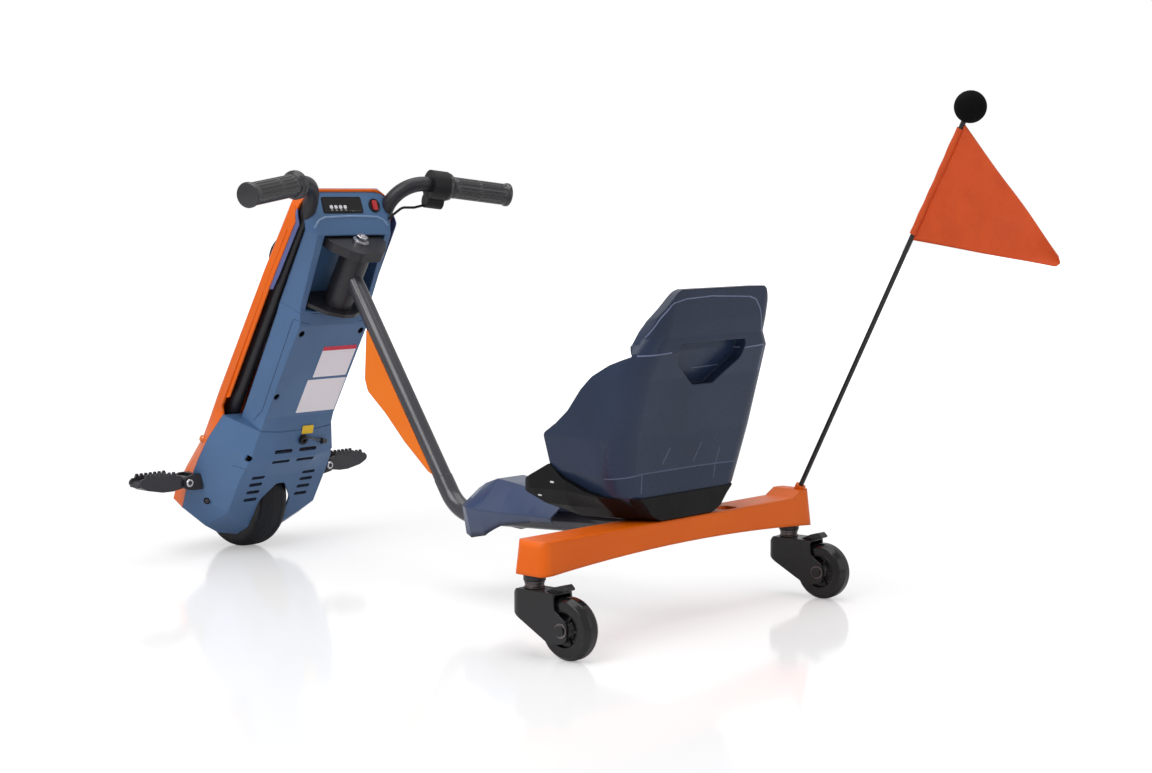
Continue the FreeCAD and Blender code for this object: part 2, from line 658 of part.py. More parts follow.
def build_console():
    rings = [ring for ring in upper_rear if ring[0] >= console_s]
    solid = rear_stack(rings, 0).common(crown_solid(0))
    body = solid.cut(rear_stack(rings, wall).common(crown_solid(wall)))
    low = head["foot"] - head["pocket_foot"]
    high = head["top"] + head["pocket_top"]
    half = head["pocket_half"]
    floor = head["pocket_floor"]
    around = box(-60, floor + wall, -half - wall, half + wall, low - wall, high + wall).common(solid)
    around = around.fuse(box(20, floor + wall, -half - wall, half + wall, low - wall, high + wall))
    body = body.fuse(around).cut(box(-60, floor, -half, half, low, high))
    return body.removeSplitter()


def vent(n, y, s, length):
    half = length / 2
    return plate_x([(y - half, s - 1.5), (y - half, s + 1.5), (y + half, s + 1.5), (y + half, s - 1.5)], n - 8, n + 8)


def build_front_lower():
    shell = front_stack(front_rings, 0).cut(front_stack(front_rings, wall))
    shell = shell.common(box(-200, 300, -200, 200, 0, seam_s))
    line = [(-200, -100), (-200, 60), (40, 60), (76, 50), (160, 30), (160, -100)]
    shell = shell.cut(plate_y(line, -200, 200))
    return shell.cut(wheel_slot(32, 12))


def build_front_upper():
    rings = [ring for ring in front_rings if ring[0] > 400]
    outer = front_stack(rings, 0).common(crown_solid(0))
    inner = front_stack(rings, wall).common(crown_solid(wall))
    shell = outer.cut(inner).common(box(-200, 300, -200, 200, seam_s, 700))
    return largest(shell.cut(rear_stack([ring for ring in upper_rear if ring[0] >= console_s], 0)))


def build_bracket(half, low, high):
    body = plate_z(both_sides(half), low, high)
    for side in (1, -1):
        body = body.cut(bar_solid(side))
    return body.cut(head_cylinder(head["bore"], 60, 60))


def bar_points(side):
    return [(bar["n"], side * bar["y"], bar["foot"]), (bar["corner_n"], side * bar["y"], bar["corner_s"]),
            (bar["end"][0], side * bar["end"][1], bar["end"][2])]


def bar_solid(side):
    return pipe(bar_points(side), [bar["bend"]], bar["radius"])


def bar_end(side):
    corner = vec(bar["corner_n"], side * bar["y"], bar["corner_s"])
    end = vec(bar["end"][0], side * bar["end"][1], bar["end"][2])
    along = end.sub(corner)
    along.normalize()
    return end, along


def build_grip(side, length):
    end, along = bar_end(side)
    start = end.sub(along * length)
    body = Part.makeCylinder(grip["radius"], length + 4, start, along)
    lip = Part.makeCylinder(grip["flange"], grip["flange_length"], start, along)
    return body.fuse(lip).cut(bar_solid(side))


def build_throttle():
    end, along = bar_end(-1)
    start = end.sub(along * (grip["length"] - 16 + housing["length"]))
    body = Part.makeCylinder(housing["radius"], housing["length"], start, along)
    lobe_start = start.add(vec(-3, 0, -housing["lobe_drop"]))
    lobe = Part.makeCylinder(housing["lobe_radius"], housing["length"], lobe_start, along)
    return body.fuse(lobe).cut(bar_solid(-1))


# Throttle cable: from the lever housing back along the bar and into the console; runs in (n, y, s)
cable = {"radius": 1.9, "bend": 12.0,
         "route": [(27.0, -131.0, 593.5), (28.0, -110.0, 588.0), (30.0, -88.0, 587.0), (31.0, -72.0, 570.0),
                   (33.0, -65.0, 552.0)]}


def build_throttle_cable():
    bends = [cable["bend"]] * (len(cable["route"]) - 2)
    return pipe(cable["route"], bends, cable["radius"])


def build_fork():
    legs = []
    inner = wheel["hub_half"] + 0.3
    for side in (1, -1):
        y = side * (inner + 2.5)
        legs.append(plate_y([(28, 56, 8), (54, 56, 8), (56, 200, 0), (28, 200, 0)], y - 2.5, y + 2.5))
    crown = plate_z([(24, -88, 4), (66, -88, 4), (66, 88, 4), (24, 88, 4)], 200, 208)
    axle = rod((wheel["n"], -40, wheel["s"]), (0, 1, 0), wheel["axle_radius"], 80)
    nuts = [rod((wheel["n"], y, wheel["s"]), (0, 1, 0), 10, 7) for y in (-inner - 12, inner + 5)]
    return crown.fuse(legs + [axle] + nuts).removeSplitter()


def build_tyre():
    w = wheel
    half = w["width"] / 2
    line = [(w["rim_radius"], -half + 6, 0), (w["radius"] - 10, -half, 6), (w["radius"], -half + 14, 12),
            (w["radius"], half - 14, 12), (w["radius"] - 10, half, 6), (w["rim_radius"], half - 6, 0)]
    face = Part.Face(rounded(line, lambda u, v: vec(w["n"] + u, v, w["s"])))
    return face.revolve(vec(w["n"], 0, w["s"]), vec(0, 1, 0), 360)


def build_hub():
    w = wheel
    half = w["width"] / 2 - 6
    line = [(w["bore"], -w["hub_half"]), (18, -w["hub_half"]), (24, -half + 4), (40, -half + 4), (w["rim_radius"], -half),
            (w["rim_radius"], half), (40, half - 4), (24, half - 4), (18, w["hub_half"]), (w["bore"], w["hub_half"])]
    face = Part.Face(rounded([(u, v, 0) for u, v in line], lambda u, v: vec(w["n"] + u, v, w["s"])))
    return face.revolve(vec(w["n"], 0, w["s"]), vec(0, 1, 0), 360)


# Foot pegs: pivot on a bracket at each side of the column
peg = {"x": 836.0, "y": 137.0, "z": 115.0, "half": 14.0, "pin": 4.0, "tip": 220.0, "root": 9.5}


def build_peg_bracket(side):
    p = peg
    ears = []
    for x in (p["x"] - p["half"] - 4.3, p["x"] + p["half"] + 0.3):
        y = p["y"]
        outline = [(side * (y - 26), 103, 0), (side * (y - 26), 127, 0), (side * (y - 9), 127, 6), (side * (y + 8), 122, 8),
                   (side * (y + 8), 106, 6), (side * (y - 9), 103, 6)]
        ears.append(plate_x(outline, x, x + 4))
    back = plate_x([(side * (y - 26), 103), (side * (y - 26), 127), (side * (y - 15), 127), (side * (y - 15), 103)],
                   p["x"] - p["half"] - 4.3, p["x"] + p["half"] + 4.3)
    pin = rod((p["x"] - p["half"] - 7, side * p["y"], p["z"]), (1, 0, 0), p["pin"], 2 * p["half"] + 14)
    return largest(back.fuse(ears + [pin]).cut(lean(column_solid())))


def column_solid():
    return rear_stack(lower_rear, 0).fuse(front_stack(front_rings, 0))


def build_peg(side):
    p = peg
    root = p["y"] + p["root"]
    first = p["y"] + 20
    count = 10
    step = (p["tip"] - 8 - first) / count
    teeth = []
    for i in range(count):
        y = first + i * step
        teeth += [(side * y, 129.5), (side * (y + step * 0.35), 133), (side * (y + step * 0.75), 133),
                  (side * (y + step * 0.9), 129.5)]
    outline = [(side * (root - 8), p["z"] - p["root"]), (side * (root - 8), p["z"] + p["root"]), (side * (first - 3), 129)]
    outline += teeth + [(side * (p["tip"] - 2), 129.5), (side * (p["tip"] + 2), 124), (side * p["tip"], 117),
                        (side * (p["tip"] - 14), 110), (side * (first + 10), 104)]
    body = plate_x([(u, v, 0) for u, v in outline], p["x"] - p["half"], p["x"] + p["half"])
    eye = rod((p["x"] - p["half"], side * p["y"], p["z"]), (1, 0, 0), p["root"], 2 * p["half"])
    body = body.fuse(eye).removeSplitter()
    return body.cut(rod((p["x"] - 60, side * p["y"], p["z"]), (1, 0, 0), p["pin"] + 0.06, 120))


port = {"n": -24.0, "y": -10.0, "s": 215.0, "radius": 7.0, "bore": 3.0}


def build_battery():
    return box(-10 + wall, 24, -50, 50, 262, 404)


def turned_lens(line, s):
    # lens turned about the n axis from (n, radius) points
    face = Part.Face(rounded(line, lambda u, v: vec(u, v, s)))
    return face.revolve(vec(0, 0, s), vec(1, 0, 0), 360)


def build_headlight():
    body = turned_lens([(86, 0), (86, 34), (122, 34, 4), (137, 20, 12), (140, 0)], 455)
    return body.cut(front_stack(front_rings, 0))


def build_side_light(side):
    n = 58
    s = 172
    line = [(96, 0), (96, 6), (108, 6, 2), (111, 3, 1.5), (111.5, 0)]
    face = Part.Face(rounded(line, lambda u, v: vec(n + v, side * u, s)))
    body = face.revolve(vec(n, 0, s), vec(0, 1, 0), 360)
    return largest(body.cut(column_solid()))


def console_frame(u, v, w=0.0):
    # panel coordinates: u to the rider's right along -Y, v up the sloped panel, w out of it
    up = vec(67 - 33, 0, 600 - 570)
    up.normalize()
    out = vec(-up.z, 0, up.x)
    base = vec(33, 0, 570)
    return base.add(vec(0, -u, 0)).add(up * v).add(out * w)


def panel_block(u0, u1, v0, v1, corner, low, high):
    outline = [(u0, v0, corner), (u1, v0, corner), (u1, v1, corner), (u0, v1, corner)]
    face = Part.Face(rounded(outline, lambda u, v: console_frame(u, v, low)))
    rise = console_frame(0, 0, high).sub(console_frame(0, 0, low))
    return face.extrude(rise)


nodes = {}


def build_all():
    nodes["flag_pole"] = build_flag_pole()
    nodes["flag_socket"] = build_flag_socket()
    nodes["beam"] = build_beam().cut(nodes["flag_socket"]).cut(nodes["flag_pole"])
    nodes["caster_collar_left"] = build_collar(1)
    nodes["caster_collar_right"] = build_collar(-1)
    nodes["caster_fork_left"] = build_caster_fork(1)
    nodes["caster_fork_right"] = build_caster_fork(-1)
    nodes["caster_wheel_left"] = build_caster_wheel(1)
    nodes["caster_wheel_right"] = build_caster_wheel(-1)
    nodes["flag_ball"] = build_flag_ball()
    nodes["pennant"] = build_pennant()
    nodes["seat_shell"] = build_seat_shell()
    nodes["seat_tub"] = build_seat_tub()
    nodes["frame_tube"] = build_frame_tube()
    nodes["down_tube"] = build_down_tube()
    nodes["nose_fairing"] = build_nose_fairing()
    nodes["spine_cover"] = build_spine_cover()
    nodes["head_tube"] = build_head_tube()
    nodes["fin"] = build_fin()
    reach = head["washer"] + head["plate"]
    wide = [(-32, 10, 4), (-22, 34, 6), (4, 54, 6), (40, 66, 0), (52, 90, 0), (64, 86, 0), (66, 62, 0)]
    short = [(-32, 20, 8), (-20, 34, 6), (0, 50, 6), (40, 56, 0), (52, 90, 0), (64, 86, 0), (66, 62, 0)]
    top_reach = head["washer"] + head["block"]
    brackets = {"bracket_upper": build_bracket(short, head["top"] + head["washer"], head["top"] + top_reach),
                "bracket_lower": build_bracket(wide, head["foot"] - reach, head["foot"] - head["washer"])}
    display = panel_block(-51, 22, 7, 29, 2, -2, 1.2)
    switch = panel_block(42.5, 51.5, 9.5, 24.5, 3, -3, 3)
    fork = build_fork()
    bars = {1: bar_solid(1).cut(fork), -1: bar_solid(-1).cut(fork)}
    shells = {"lower_cover": build_lower_cover(), "rear_cover": build_rear_cover(), "console": build_console(),
              "front_shell_lower": build_front_lower(), "front_shell_upper": build_front_upper()}
    for name in shells:
        for side in (1, -1):
            shells[name] = shells[name].cut(bar_solid(side))
    wire = build_throttle_cable()
    shells["console"] = shells["console"].cut(wire)
    for name in brackets:
        shells["console"] = shells["console"].cut(brackets[name])
    shells["console"] = shells["console"].cut(display).cut(switch)
    shells["lower_cover"] = shells["lower_cover"].cut(rod((-40, port["y"], port["s"]), (1, 0, 0), port["radius"], 24))
    socket = rod((port["n"] - 4, port["y"], port["s"]), (1, 0, 0), port["radius"], 12)
    socket = socket.cut(rod((port["n"] - 6, port["y"], port["s"]), (1, 0, 0), port["bore"], 10))
    kingpin = head_cylinder(head["bore"], reach + 0.2, top_reach + 0.2)
    for s in (head["foot"] - reach - head["cap_height"], head["top"] + top_reach):
        kingpin = kingpin.fuse(Part.makeCylinder(head["cap"], head["cap_height"], vec(0, 0, s)))
    steering = dict(shells)
    steering.update({
        "display": display, "rocker_switch": switch, "kingpin": kingpin, "fork": fork,
        "bar_left": bars[1], "bar_right": bars[-1], "grip_left": build_grip(1, grip["length"]),
        "grip_right": build_grip(-1, grip["length"] - 16), "throttle_housing": build_throttle().cut(wire), "throttle_cable": wire,
        "headlight": build_headlight(), "side_light_left": build_side_light(1),
        "side_light_right": build_side_light(-1), "battery": build_battery(), "charge_port": socket,
        "tyre": build_tyre(), "hub": build_hub()})
    steering.update(brackets)
    for name in steering:
        nodes[name] = lean(steering[name])
    for side, word in ((1, "left"), (-1, "right")):
        nodes["peg_bracket_" + word] = build_peg_bracket(side)
        nodes["peg_" + word] = build_peg(side)


build_all()
os.makedirs("parts", exist_ok=True)
for name in nodes:
    shape = move(nodes[name], x=-origin_x)
    if len(shape.Solids) == 1:
        shape = shape.Solids[0]
    span = shape.BoundBox
    print(name, "valid" if shape.isValid() else "INVALID", len(shape.Solids), "solids", round(shape.Volume / 1000, 1),
          "cm3", [round(v, 1) for v in (span.XMin, span.XMax, span.YMin, span.YMax, span.ZMin, span.ZMax)])
    shape.exportStep("parts/" + name + ".step")
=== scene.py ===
import bpy
import math
import numpy as np
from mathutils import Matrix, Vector
from mathutils.bvhtree import BVHTree


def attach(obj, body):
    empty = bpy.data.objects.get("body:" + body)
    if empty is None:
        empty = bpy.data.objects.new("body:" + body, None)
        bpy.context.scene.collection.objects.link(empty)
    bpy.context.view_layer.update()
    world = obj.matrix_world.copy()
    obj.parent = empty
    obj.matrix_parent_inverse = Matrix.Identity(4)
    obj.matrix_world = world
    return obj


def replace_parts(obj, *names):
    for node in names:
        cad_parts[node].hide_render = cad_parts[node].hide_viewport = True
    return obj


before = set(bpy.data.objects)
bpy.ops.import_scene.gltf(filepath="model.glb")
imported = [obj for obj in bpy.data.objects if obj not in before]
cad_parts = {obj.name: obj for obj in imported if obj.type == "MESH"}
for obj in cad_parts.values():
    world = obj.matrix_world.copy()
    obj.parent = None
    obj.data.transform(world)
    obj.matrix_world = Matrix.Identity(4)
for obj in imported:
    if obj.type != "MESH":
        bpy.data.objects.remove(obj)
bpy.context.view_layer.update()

print("stage: frame loaded")

# Places are written in millimetres as in the part's source and turned into the model's metres here
frameSettings = {"originX": 270.0, "steerX": 858.0, "rake": 30.0}


def place(x, y, z):
    # station, left, up in mm from the caster line -> metres from the middle of the length
    x, y, z = np.broadcast_arrays(np.asarray(x, float), np.asarray(y, float), np.asarray(z, float))
    return np.stack([(x - frameSettings["originX"]) / 1000, y / 1000, z / 1000], axis=-1)


def onColumn(n, y, s):
    # column coordinates (n ahead of the steering axis, y left, s up along it) leaned back by the rake
    n, y, s = np.broadcast_arrays(np.asarray(n, float), np.asarray(y, float), np.asarray(s, float))
    c, t = math.cos(math.radians(frameSettings["rake"])), math.sin(math.radians(frameSettings["rake"]))
    return place(frameSettings["steerX"] + n * c - s * t, y, n * t + s * c)


def unit(v):
    # each vector over its own length
    v = np.asarray(v, float)
    return v / np.linalg.norm(v, axis=-1, keepdims=True)


columnOut = unit(onColumn(1, 0, 0) - onColumn(0, 0, 0))  # forward, square to the steering axis
columnUp = unit(onColumn(0, 0, 1) - onColumn(0, 0, 0))  # along the steering axis


def fullTurn(count):
    # angles evenly round a circle, the last one a step short of the first
    return np.linspace(0, 2 * math.pi, count, endpoint=False)


def ringOf(angle, side, other):
    # unit circle in the plane of two directions: cos(a) * side + sin(a) * other
    return np.cos(angle)[:, None] * side + np.sin(angle)[:, None] * other


def grid(points, wrapU=False, wrapV=True, caps=True):
    # a (U, V, 3) block of points -> vertices and faces; a fan to its mean point closes each open end ring
    rows, cols = points.shape[:2]
    index = np.arange(rows * cols).reshape(rows, cols)
    nextU = np.roll(index, -1, axis=0)
    nextV = np.roll(index, -1, axis=1)
    nextUV = np.roll(nextU, -1, axis=1)
    quads = np.stack([index, nextU, nextUV, nextV], axis=-1)
    quads = quads if wrapU else quads[:-1]
    quads = (quads if wrapV else quads[:, :-1]).reshape(-1, 4)
    verts = points.reshape(-1, 3)
    faces = quads.tolist()
    if caps and wrapV and not wrapU:
        count = len(verts)
        verts = np.vstack([verts, points[0].mean(axis=0), points[-1].mean(axis=0)])
        first, last = index[0], index[-1]
        faces += np.stack([np.full(cols, count), first, np.roll(first, -1)], axis=-1).tolist()
        faces += np.stack([np.full(cols, count + 1), np.roll(last, -1), last], axis=-1).tolist()
    return outward(verts, faces) if caps or wrapU else (verts, faces)


def outward(verts, faces):
    # faces turned round where the signed volume of their fans about the middle is negative
    middle = verts.mean(axis=0)
    corners = np.array([face[:3] for face in faces])
    a, b, c = (verts[corners[:, i]] - middle for i in range(3))
    volume = np.einsum("ij,ij->i", a, np.cross(b, c)).sum()
    return (verts, faces) if volume >= 0 else (verts, [face[::-1] for face in faces])


def putPiece(name, parts, body, finish, sharp=35):
    # parts are (vertices, faces) pairs, joined in one mesh whose object sits at the origin
    allVerts, allFaces, base = [], [], 0
    for verts, faces in parts:
        allVerts.append(verts)
        allFaces += [[i + base for i in face] for face in faces]
        base += len(verts)
    mesh = bpy.data.meshes.new(name)
    mesh.from_pydata(np.vstack(allVerts).tolist(), [], allFaces)
    mesh.polygons.foreach_set("use_smooth", np.ones(len(mesh.polygons), dtype=bool))
    mesh.set_sharp_from_angle(angle=math.radians(sharp))
    mesh.materials.append(finishes[finish])
    mesh.update()
    piece = bpy.data.objects.new(name, mesh)
    bpy.context.scene.collection.objects.link(piece)
    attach(piece, body)
    return piece


def turned(origin, axis, line, count=48):
    # (radius, height) pairs swung once round the axis through origin: p = o + h*a + r*(cos*u + sin*v)
    origin, axis = np.asarray(origin, float), unit(axis)
    side = unit(np.cross(axis, [0.12, 0.35, 0.93]))  # any direction that no axis here runs along
    other = np.cross(axis, side)
    line = np.asarray(line, float) / 1000
    ring = ringOf(fullTurn(count), side, other)
    return grid(origin + line[:, 1, None, None] * axis + line[:, 0, None, None] * ring[None])


def swept(path, section, up, closed=False):
    # section (m, 2) in mm is carried along path: p = q + a*(up x t) + b*(t x (up x t))
    if closed:
        along = unit(np.roll(path, -1, axis=0) - np.roll(path, 1, axis=0))
    else:
        along = unit(np.gradient(path, axis=0))
    side = unit(np.cross(np.broadcast_to(np.asarray(up, float), along.shape), along))
    over = np.cross(along, side)
    section = section / 1000
    points = path[:, None] + section[None, :, :1] * side[:, None] + section[None, :, 1:] * over[:, None]
    return grid(points, wrapU=closed, caps=not closed)


def ringSection(radius, count, flat=1.0):
    # circle of the radius, flattened in its second direction
    angle = fullTurn(count)
    return np.stack([radius * np.cos(angle), radius * flat * np.sin(angle)], axis=-1)


def roundRect(width, height, corner, steps=6):
    # quarter circle of each corner about its own centre, in order round the rectangle
    angle = np.linspace(0, math.pi / 2, steps)[None, :] + np.arange(4)[:, None] * math.pi / 2
    signX = np.array([1, -1, -1, 1])[:, None]
    signY = np.array([1, 1, -1, -1])[:, None]
    x = signX * (width / 2 - corner) + corner * np.cos(angle)
    y = signY * (height / 2 - corner) + corner * np.sin(angle)
    return np.stack([x.ravel(), y.ravel()], axis=-1)


def softPlate(outline, origin, u, v, low, high, edge):
    # outline (m, 2) in mm on the u, v plane, raised along u x v from low to high, its rims drawn in by edge
    u, v = unit(u), unit(v)
    w = np.cross(u, v)
    step = np.roll(outline, -1, axis=0) - np.roll(outline, 1, axis=0)
    normal = unit(np.stack([step[:, 1], -step[:, 0]], axis=-1))
    depth = np.array([low, low + edge, high - edge, high])
    draw = np.array([edge, 0, 0, edge])
    flat = outline[None] - draw[:, None, None] * normal[None]
    points = (flat[..., :1] * u + flat[..., 1:] * v + depth[:, None, None] * w) / 1000
    return grid(points + origin)


def nut(origin, axis, across, height):
    # six corners at across / (2 cos 30) from the axis, both rims drawn in
    radius = across / 2 / math.cos(math.pi / 6)
    line = [(radius * 0.92, 0), (radius, 0.6), (radius, height - 0.8), (radius * 0.88, height)]
    return turned(origin, axis, line, count=6)


def washer(origin, axis, radius, height):
    # flat ring whose rims are drawn in by 0.3
    line = [(radius - 0.3, 0), (radius, 0.3), (radius, height - 0.3), (radius - 0.3, height)]
    return turned(origin, axis, line, 32)


# Surfaces of the carried-over nodes, for details that lie on them
nodeTrees = {}


def hitNode(node, start, direction):
    # first point of the node's surface along a line and its normal, or None where it misses
    if node not in nodeTrees:
        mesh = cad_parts[node].data
        mesh.calc_loop_triangles()
        nodeTrees[node] = BVHTree.FromPolygons([v.co for v in mesh.vertices],
                                               [tuple(t.vertices) for t in mesh.loop_triangles])
    return nodeTrees[node].ray_cast(Vector(start), Vector(direction).normalized())[:2]


def drawOn(node, starts, direction, sink):
    # drop each start onto the node along direction, sink mm past its face, and keep the ones that meet it
    found = [hitNode(node, start, direction)[0] for start in starts]
    spots = np.array([tuple(spot) for spot in found if spot is not None])
    return spots + unit(direction) * sink / 1000


# Finishes, kept by name
finishes = {}


def tint(r, g, b):
    # screen colour 0-255 to the linear values that shaders take
    c = np.array([r, g, b]) / 255
    c = np.where(c <= 0.04045, c / 12.92, ((c + 0.055) / 1.055) ** 2.4)
    return (float(c[0]), float(c[1]), float(c[2]), 1.0)


def finishBase(name):
    # new material, its node tree, its shader and its coordinates
    mat = bpy.data.materials.new(name)
    mat.use_nodes = True
    tree = mat.node_tree
    return mat, tree, tree.nodes["Principled BSDF"], tree.nodes.new("ShaderNodeTexCoord")


def link(tree, a, b):
    tree.links.new(a, b)


def noise(tree, vector, scale, detail=3.0):
    # cloudy value about 0.5 with scale waves to a unit of vector
    node = tree.nodes.new("ShaderNodeTexNoise")
    for socket, number in (("Scale", scale), ("Detail", detail), ("Roughness", 0.55)):
        node.inputs[socket].default_value = number
    link(tree, vector, node.inputs["Vector"])
    return node.outputs["Fac"]


def spread(tree, value, low, high, outLow, outHigh):
    # straight line through (low, outLow) and (high, outHigh), level beyond them
    node = tree.nodes.new("ShaderNodeMapRange")
    for socket, number in zip(("From Min", "From Max", "To Min", "To Max"), (low, high, outLow, outHigh)):
        node.inputs[socket].default_value = number
    link(tree, value, node.inputs["Value"])
    return node.outputs["Result"]


def combine(tree, operation, first, second):
    # one value from two, by the named operation
    node = tree.nodes.new("ShaderNodeMath")
    node.operation = operation
    link(tree, first, node.inputs[0])
    link(tree, second, node.inputs[1])
    return node.outputs["Value"]


def blendColour(tree, fac, first, second):
    # first where fac is 0 and second where it is 1
    node = tree.nodes.new("ShaderNodeMix")
    node.data_type = "RGBA"
    link(tree, fac, node.inputs["Factor"])
    node.inputs["A"].default_value = first
    node.inputs["B"].default_value = second
    return node.outputs["Result"]


def bump(tree, height, strength, normal=None):
    # normal leaned by the slope of height, whose full step is 0.3 mm
    node = tree.nodes.new("ShaderNodeBump")
    node.inputs["Strength"].default_value = strength
    node.inputs["Distance"].default_value = 0.0003
    link(tree, height, node.inputs["Height"])
    if normal is not None:
        link(tree, normal, node.inputs["Normal"])
    return node.outputs["Normal"]


def moulded(name, colour, shade, rough, grain, edge, metallic=0.0, coat=0.0, specular=0.5):
    # colour drifts slowly towards shade and roughness between its two values, grain is (waves to the metre,
    # strength), and the corners look rounded by edge metres
    mat, tree, shader, coord = finishBase(name)
    where = coord.outputs["Object"]
    drift = spread(tree, noise(tree, where, 7.0, 2.0), 0.3, 0.7, 0.0, 1.0)
    link(tree, blendColour(tree, drift, tint(*shade), tint(*colour)), shader.inputs["Base Color"])
    link(tree, spread(tree, noise(tree, where, 55.0, 4.0), 0.3, 0.7, *rough), shader.inputs["Roughness"])
    for socket, number in (("Metallic", metallic), ("Coat Weight", coat), ("Specular IOR Level", specular)):
        shader.inputs[socket].default_value = number
    soft = None
    if edge:
        soften = tree.nodes.new("ShaderNodeBevel")
        soften.samples = 4
        soften.inputs["Radius"].default_value = edge
        soft = soften.outputs["Normal"]
    link(tree, bump(tree, noise(tree, where, grain[0], 2.0), grain[1], soft), shader.inputs["Normal"])
    finishes[name] = mat


# name, colour and shade as on screen, roughness, grain, edge and what differs from the plain case
moulded("orangePlastic", (244, 108, 6), (236, 100, 4), (0.30, 0.40), (1400, 0.06), 0.0024, specular=0.32)
moulded("columnBlue", (82, 117, 160), (72, 105, 146), (0.28, 0.40), (1700, 0.12), 0.0030, specular=0.45)
moulded("seatBlue", (42, 56, 82), (34, 47, 71), (0.24, 0.34), (1700, 0.06), 0.0030, specular=0.32)
moulded("tubBlack", (14, 13, 16), (10, 9, 12), (0.44, 0.56), (1300, 0.22), 0.0016, specular=0.2)
moulded("casterBlack", (26, 25, 29), (20, 19, 22), (0.18, 0.28), (1300, 0.12), 0.0016)
moulded("tubeSteel", (66, 65, 71), (54, 53, 59), (0.14, 0.24), (2300, 0.10), 0.0012, specular=0.7)
moulded("beamOrange", (246, 112, 10), (238, 102, 6), (0.30, 0.40), (1400, 0.06), 0.0060, specular=0.32)
# the fin's orange is painted lighter than the shell's to stand in for the light it catches
moulded("finOrangeLit", (255, 134, 30), (252, 124, 22), (0.28, 0.38), (1400, 0.06), 0.0030, specular=0.34)
moulded("blackPlastic", (22, 20, 24), (17, 16, 19), (0.40, 0.54), (1300, 0.22), 0.0012, specular=0.3)
moulded("blackPowder", (44, 43, 48), (38, 37, 42), (0.30, 0.40), (2300, 0.20), 0.0012, specular=0.4)
moulded("gripRubber", (36, 35, 40), (29, 28, 33), (0.20, 0.30), (900, 0.02), 0.0003, specular=0.8)
moulded("tyreRubber", (24, 25, 31), (19, 20, 26), (0.42, 0.56), (1200, 0.20), 0.0004, specular=0.3)
moulded("casterTread", (22, 20, 23), (16, 15, 18), (0.12, 0.20), (800, 0.04), 0.0010, specular=0.45)
moulded("casterCore", (24, 23, 26), (18, 18, 20), (0.30, 0.44), (1300, 0.18), 0.0006, specular=0.4)
moulded("fibrePole", (30, 29, 33), (24, 24, 27), (0.28, 0.36), (2600, 0.08), 0)
moulded("foamBall", (12, 12, 13), (8, 8, 9), (0.84, 0.96), (620, 0.75), 0, specular=0.12)
moulded("batteryCase", (80, 82, 86), (70, 72, 76), (0.5, 0.6), (900, 0.1), 0.0010)
moulded("pegMetal", (66, 65, 70), (52, 51, 56), (0.26, 0.38), (1500, 0.20), 0.0008, metallic=0.2)
moulded("hubMetal", (60, 60, 65), (50, 50, 55), (0.36, 0.48), (1100, 0.15), 0.0010, metallic=0.5)
moulded("brightSteel", (214, 214, 218), (196, 196, 202), (0.16, 0.30), (1900, 0.05), 0.0003, metallic=1.0)
moulded("wornSteel", (120, 112, 112), (96, 88, 88), (0.22, 0.40), (1400, 0.12), 0.0003, metallic=1.0)
moulded("darkGlass", (8, 8, 10), (11, 10, 14), (0.05, 0.09), (300, 0.004), 0.0004, coat=0.2, specular=0.3)
moulded("redSwitch", (196, 24, 34), (170, 16, 28), (0.12, 0.2), (900, 0.02), 0.0006, coat=0.4)
moulded("amberLens", (236, 128, 40), (222, 112, 30), (0.06, 0.12), (240, 0.05), 0.0006, coat=0.6)
moulded("lensClear", (232, 234, 238), (214, 217, 224), (0.05, 0.10), (240, 0.05), 0.0008, coat=0.8)
moulded("labelPaper", (252, 246, 252), (244, 238, 246), (0.36, 0.46), (1200, 0.05), 0)
moulded("labelRed", (226, 34, 70), (214, 28, 62), (0.36, 0.46), (1200, 0.05), 0)
moulded("labelYellow", (255, 214, 40), (250, 202, 34), (0.36, 0.46), (1200, 0.05), 0)
moulded("seamBlue", (50, 68, 98), (44, 60, 88), (0.5, 0.65), (900, 0.1), 0)
# lighter blue that paints the highlights on the seat back's edges
moulded("seatEdgeHighlight", (120, 130, 162), (108, 118, 150), (0.28, 0.38), (1700, 0.08), 0.0004)
# pale orange that paints the highlight along the shell's seam
moulded("seamHighlightOrange", (250, 176, 150), (240, 160, 132), (0.3, 0.4), (900, 0.1), 0)
moulded("noseBlue", (70, 84, 118), (58, 72, 104), (0.14, 0.22), (1500, 0.06), 0.0040)
# lighter blue that paints the highlights along the seat back's creases
moulded("creaseHighlightBlue", (84, 95, 124), (74, 85, 112), (0.24, 0.34), (1700, 0.08), 0.0004)
# light blue that paints the highlight on the visor's lip
moulded("lipHighlightBlue", (128, 158, 194), (114, 144, 182), (0.2, 0.3), (1700, 0.08), 0)
# near black that paints the shade inside holes, slots and round the flush screws
moulded("paintedGapShade", (16, 18, 24), (11, 12, 16), (0.6, 0.8), (900, 0.1), 0, specular=0.2)
moulded("linerBlue", (96, 104, 158), (86, 95, 148), (0.3, 0.4), (1500, 0.08), 0.0004)
# white for the print on the display, also for the pale plates that paint the light seen at the tub's slots
moulded("printWhiteAndSlotLight", (236, 236, 240), (214, 214, 222), (0.3, 0.4), (900, 0.02), 0)


